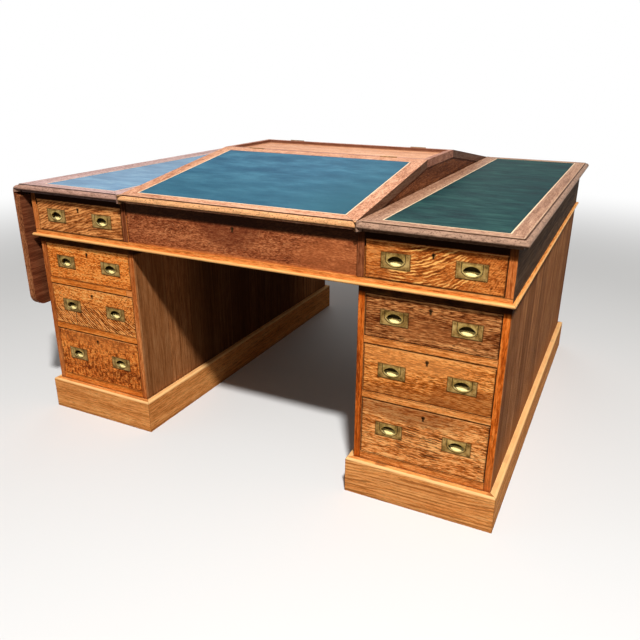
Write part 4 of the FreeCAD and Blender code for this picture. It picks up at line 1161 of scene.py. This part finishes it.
def makeBrassFinish(name, names, look, settings, onDoor=False, handles=True):
    at = Finish(name)
    clouds = at.here.noise((16, 16, 16), 3, 0.6, 3.0)
    at.colour = clouds.ramp(settings[look], (0.3, 0.5, 0.7))
    dirtAndShade = at.here.noise((2.4, 2.4, 2.4), 2, 0.6, 7.0).rise(0.6, 0.7) * 0.3
    metal = 1.0
    if handles:
        u, v = handlePlace(at, onDoor, settings)
        dirtAndShade, metal = addHandleWearAndShade(at, dirtAndShade, u, v, settings)
    at.paint(dirtAndShade, settings["dirtAndShade"])
    at.rough = 0.36 + clouds * 0.2 + dirtAndShade * 0.2
    at.height = clouds * 0.3 - dirtAndShade * 0.3
    at.close(names, depth=0.06, metallic=metal)
    return at.material


brassNodes = [name for name in nodes if name.endswith("_brass")]
bailNodes = [name for name in nodes if name.endswith(("_bails", "_bail"))]
hingeNodes = ["drop_leaf_hinges", "fixed_hinges", "front_lid_hinges", "back_lid_hinges"]
for look, names in (("plate", brassNodes), ("bail", bailNodes)):
    onDoors = [name for name in names if "door" in name]
    onDrawers = [name for name in names if "door" not in name]
    makeBrassFinish(look + "Brass", onDrawers, look, brassSettings)
    makeBrassFinish(look + "DoorBrass", onDoors, look, brassSettings, onDoor=True)
makeBrassFinish("hingeBrass", hingeNodes, "hinge", brassSettings, handles=False)
makeBrassFinish("lockBrass", ["lid_locks"], "plate", brassSettings, handles=False)
screwBrass = makeBrassFinish("screwBrass", [], "plate", brassSettings, handles=False)
linerBrass = makeBrassFinish("linerBrass", [], "liner", brassSettings, handles=False)
print("brass finished:", len(brassNodes) + len(bailNodes) + len(hingeNodes) + 1, "nodes")


# Small brass pieces: the handles' screws and the keyhole liners
fittingSettings = {
    "screwRadius": 2.3,
    "screwDome": 0.35,
    "screwRings": 4,
    "screwSteps": 9,
    "slotWidth": 0.7,
    "plateProud": 0.8,
    "linerSteps": 16,
    "linerGap": 0.04,
    "linerThickness": 0.6,
    "linerDepth": 3.0,
    "linerProud": 0.12,
    "keyholeDrop": 22.0,
    "doorKeyholeRise": 62.0,
    "panelKeyholeHeight": 701.0,
    "panelFace": 664.0,
}


def faceFrame(origin, turn):  # (sideways, up, out of the face) in mm to a place on the desk
    return lambda u, v, w: Vector((origin.x + turn * u * mm, origin.y - turn * w * mm,
                                   origin.z + v * mm))


def addScrew(mesh, place, u, v, angle, settings):  # a slotted head: two domed halves
    radius = settings["screwRadius"]
    half = settings["slotWidth"] / 2
    rings = settings["screwRings"]
    steps = settings["screwSteps"]
    for side in (-1, 1):
        grid = []
        for ring in range(rings + 1):
            share = math.cos(ring / rings * math.pi / 2)
            reach = max(radius * share, half)
            rise = settings["plateProud"] + 0.02 + settings["screwDome"] * math.sqrt(1 - share ** 2)
            start = math.asin(half / reach)
            row = []
            for step in range(steps + 1):
                turn = start + (math.pi - 2 * start) * step / steps
                x = reach * math.cos(turn)
                y = reach * math.sin(turn) * side
                row.append(mesh.verts.new(place(u + x * math.cos(angle) - y * math.sin(angle),
                                                v + x * math.sin(angle) + y * math.cos(angle), rise)))
            grid.append(row)
        for row, after in zip(grid, grid[1:]):
            for step in range(steps):
                mesh.faces.new([row[step], row[step + 1], after[step + 1], after[step]])


def keyholeOutline(inset, steps):
    radius = keyholeSettings["radius"] - inset
    halfSlot = keyholeSettings["slot"][0] - inset
    low = -keyholeSettings["slot"][1] + inset
    start = math.asin(halfSlot / radius)
    turns = [-math.pi / 2 + start + (2 * math.pi - 2 * start) * step / steps
             for step in range(steps + 1)]
    bow = [(radius * math.cos(turn), radius * math.sin(turn)) for turn in turns]
    return [(halfSlot, low)] + bow + [(-halfSlot, low)]


def makePiece(name, mesh, body, material):
    bmesh.ops.remove_doubles(mesh, verts=mesh.verts, dist=0.00001)
    bmesh.ops.recalc_face_normals(mesh, faces=mesh.faces)
    data = bpy.data.meshes.new(name)
    mesh.to_mesh(data)
    mesh.free()
    data.materials.append(material)
    piece = placeInScene(name, data)
    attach(piece, body)


def makeScrews(name, handles, place, tilt, settings):
    mesh = bmesh.new()
    across, up = handleSettings["screwPlaces"]
    number = 0
    for u, v in handles:
        for x, y in ((-across, -up), (-across, up), (across, -up), (across, up)):
            number += 1
            addScrew(mesh, place, u + x, v + y, math.radians((number * 67 + tilt) % 180), settings)
    makePiece(name + "_screws", mesh, bodyOf(name), screwBrass)


def makeLiner(name, body, place, v, settings):
    mesh = bmesh.new()
    outer = keyholeOutline(settings["linerGap"], settings["linerSteps"])
    inner = keyholeOutline(settings["linerThickness"], settings["linerSteps"])
    deep = -settings["linerDepth"]
    proud = settings["linerProud"]
    loops = [[mesh.verts.new(place(x, v + y, out)) for x, y in outline]
             for outline, out in ((outer, deep), (outer, proud), (inner, proud), (inner, deep))]
    for first, second in zip(loops, loops[1:]):
        for step in range(len(first)):
            after = (step + 1) % len(first)
            mesh.faces.new([first[step], first[after], second[after], second[step]])
    makePiece(name + "_keyhole", mesh, body, linerBrass)


def bodyOf(name):
    return next(body for body, held in bodies.items() if name in held)


def makeFittings(name, handles, keyhole, face, turn, settings):
    place = faceFrame(face, turn)
    makeScrews(name, handles, place, face.z * 1000, settings)
    makeLiner(name, bodyOf(name), place, keyhole, settings)


for name in drawerLooks:
    face, half, turn = drawerFace(name)
    handles = [(side * handleSettings["spacing"], handleSettings["lift"]) for side in (-1, 1)]
    keyhole = half.z - fittingSettings["keyholeDrop"]
    makeFittings(name, handles, keyhole, face, turn, fittingSettings)
for side in ("left", "right"):
    low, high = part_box(side + "_cupboard_door_bail")
    face = Vector(((low.x + high.x) / 2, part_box(side + "_cupboard_door")[1].y, (low.z + high.z) / 2))
    keyhole = fittingSettings["doorKeyholeRise"]
    makeFittings(side + "_cupboard_door", [(0, 0)], keyhole, face, -1, fittingSettings)
for turn, side in ((1, "front"), (-1, "back")):
    face = Vector((deskMiddle.x, -turn * fittingSettings["panelFace"] * mm, 0))
    makeLiner(side + "_panel", "desk", faceFrame(face, turn), fittingSettings["panelKeyholeHeight"],
              fittingSettings)
print("screws and keyhole liners made")
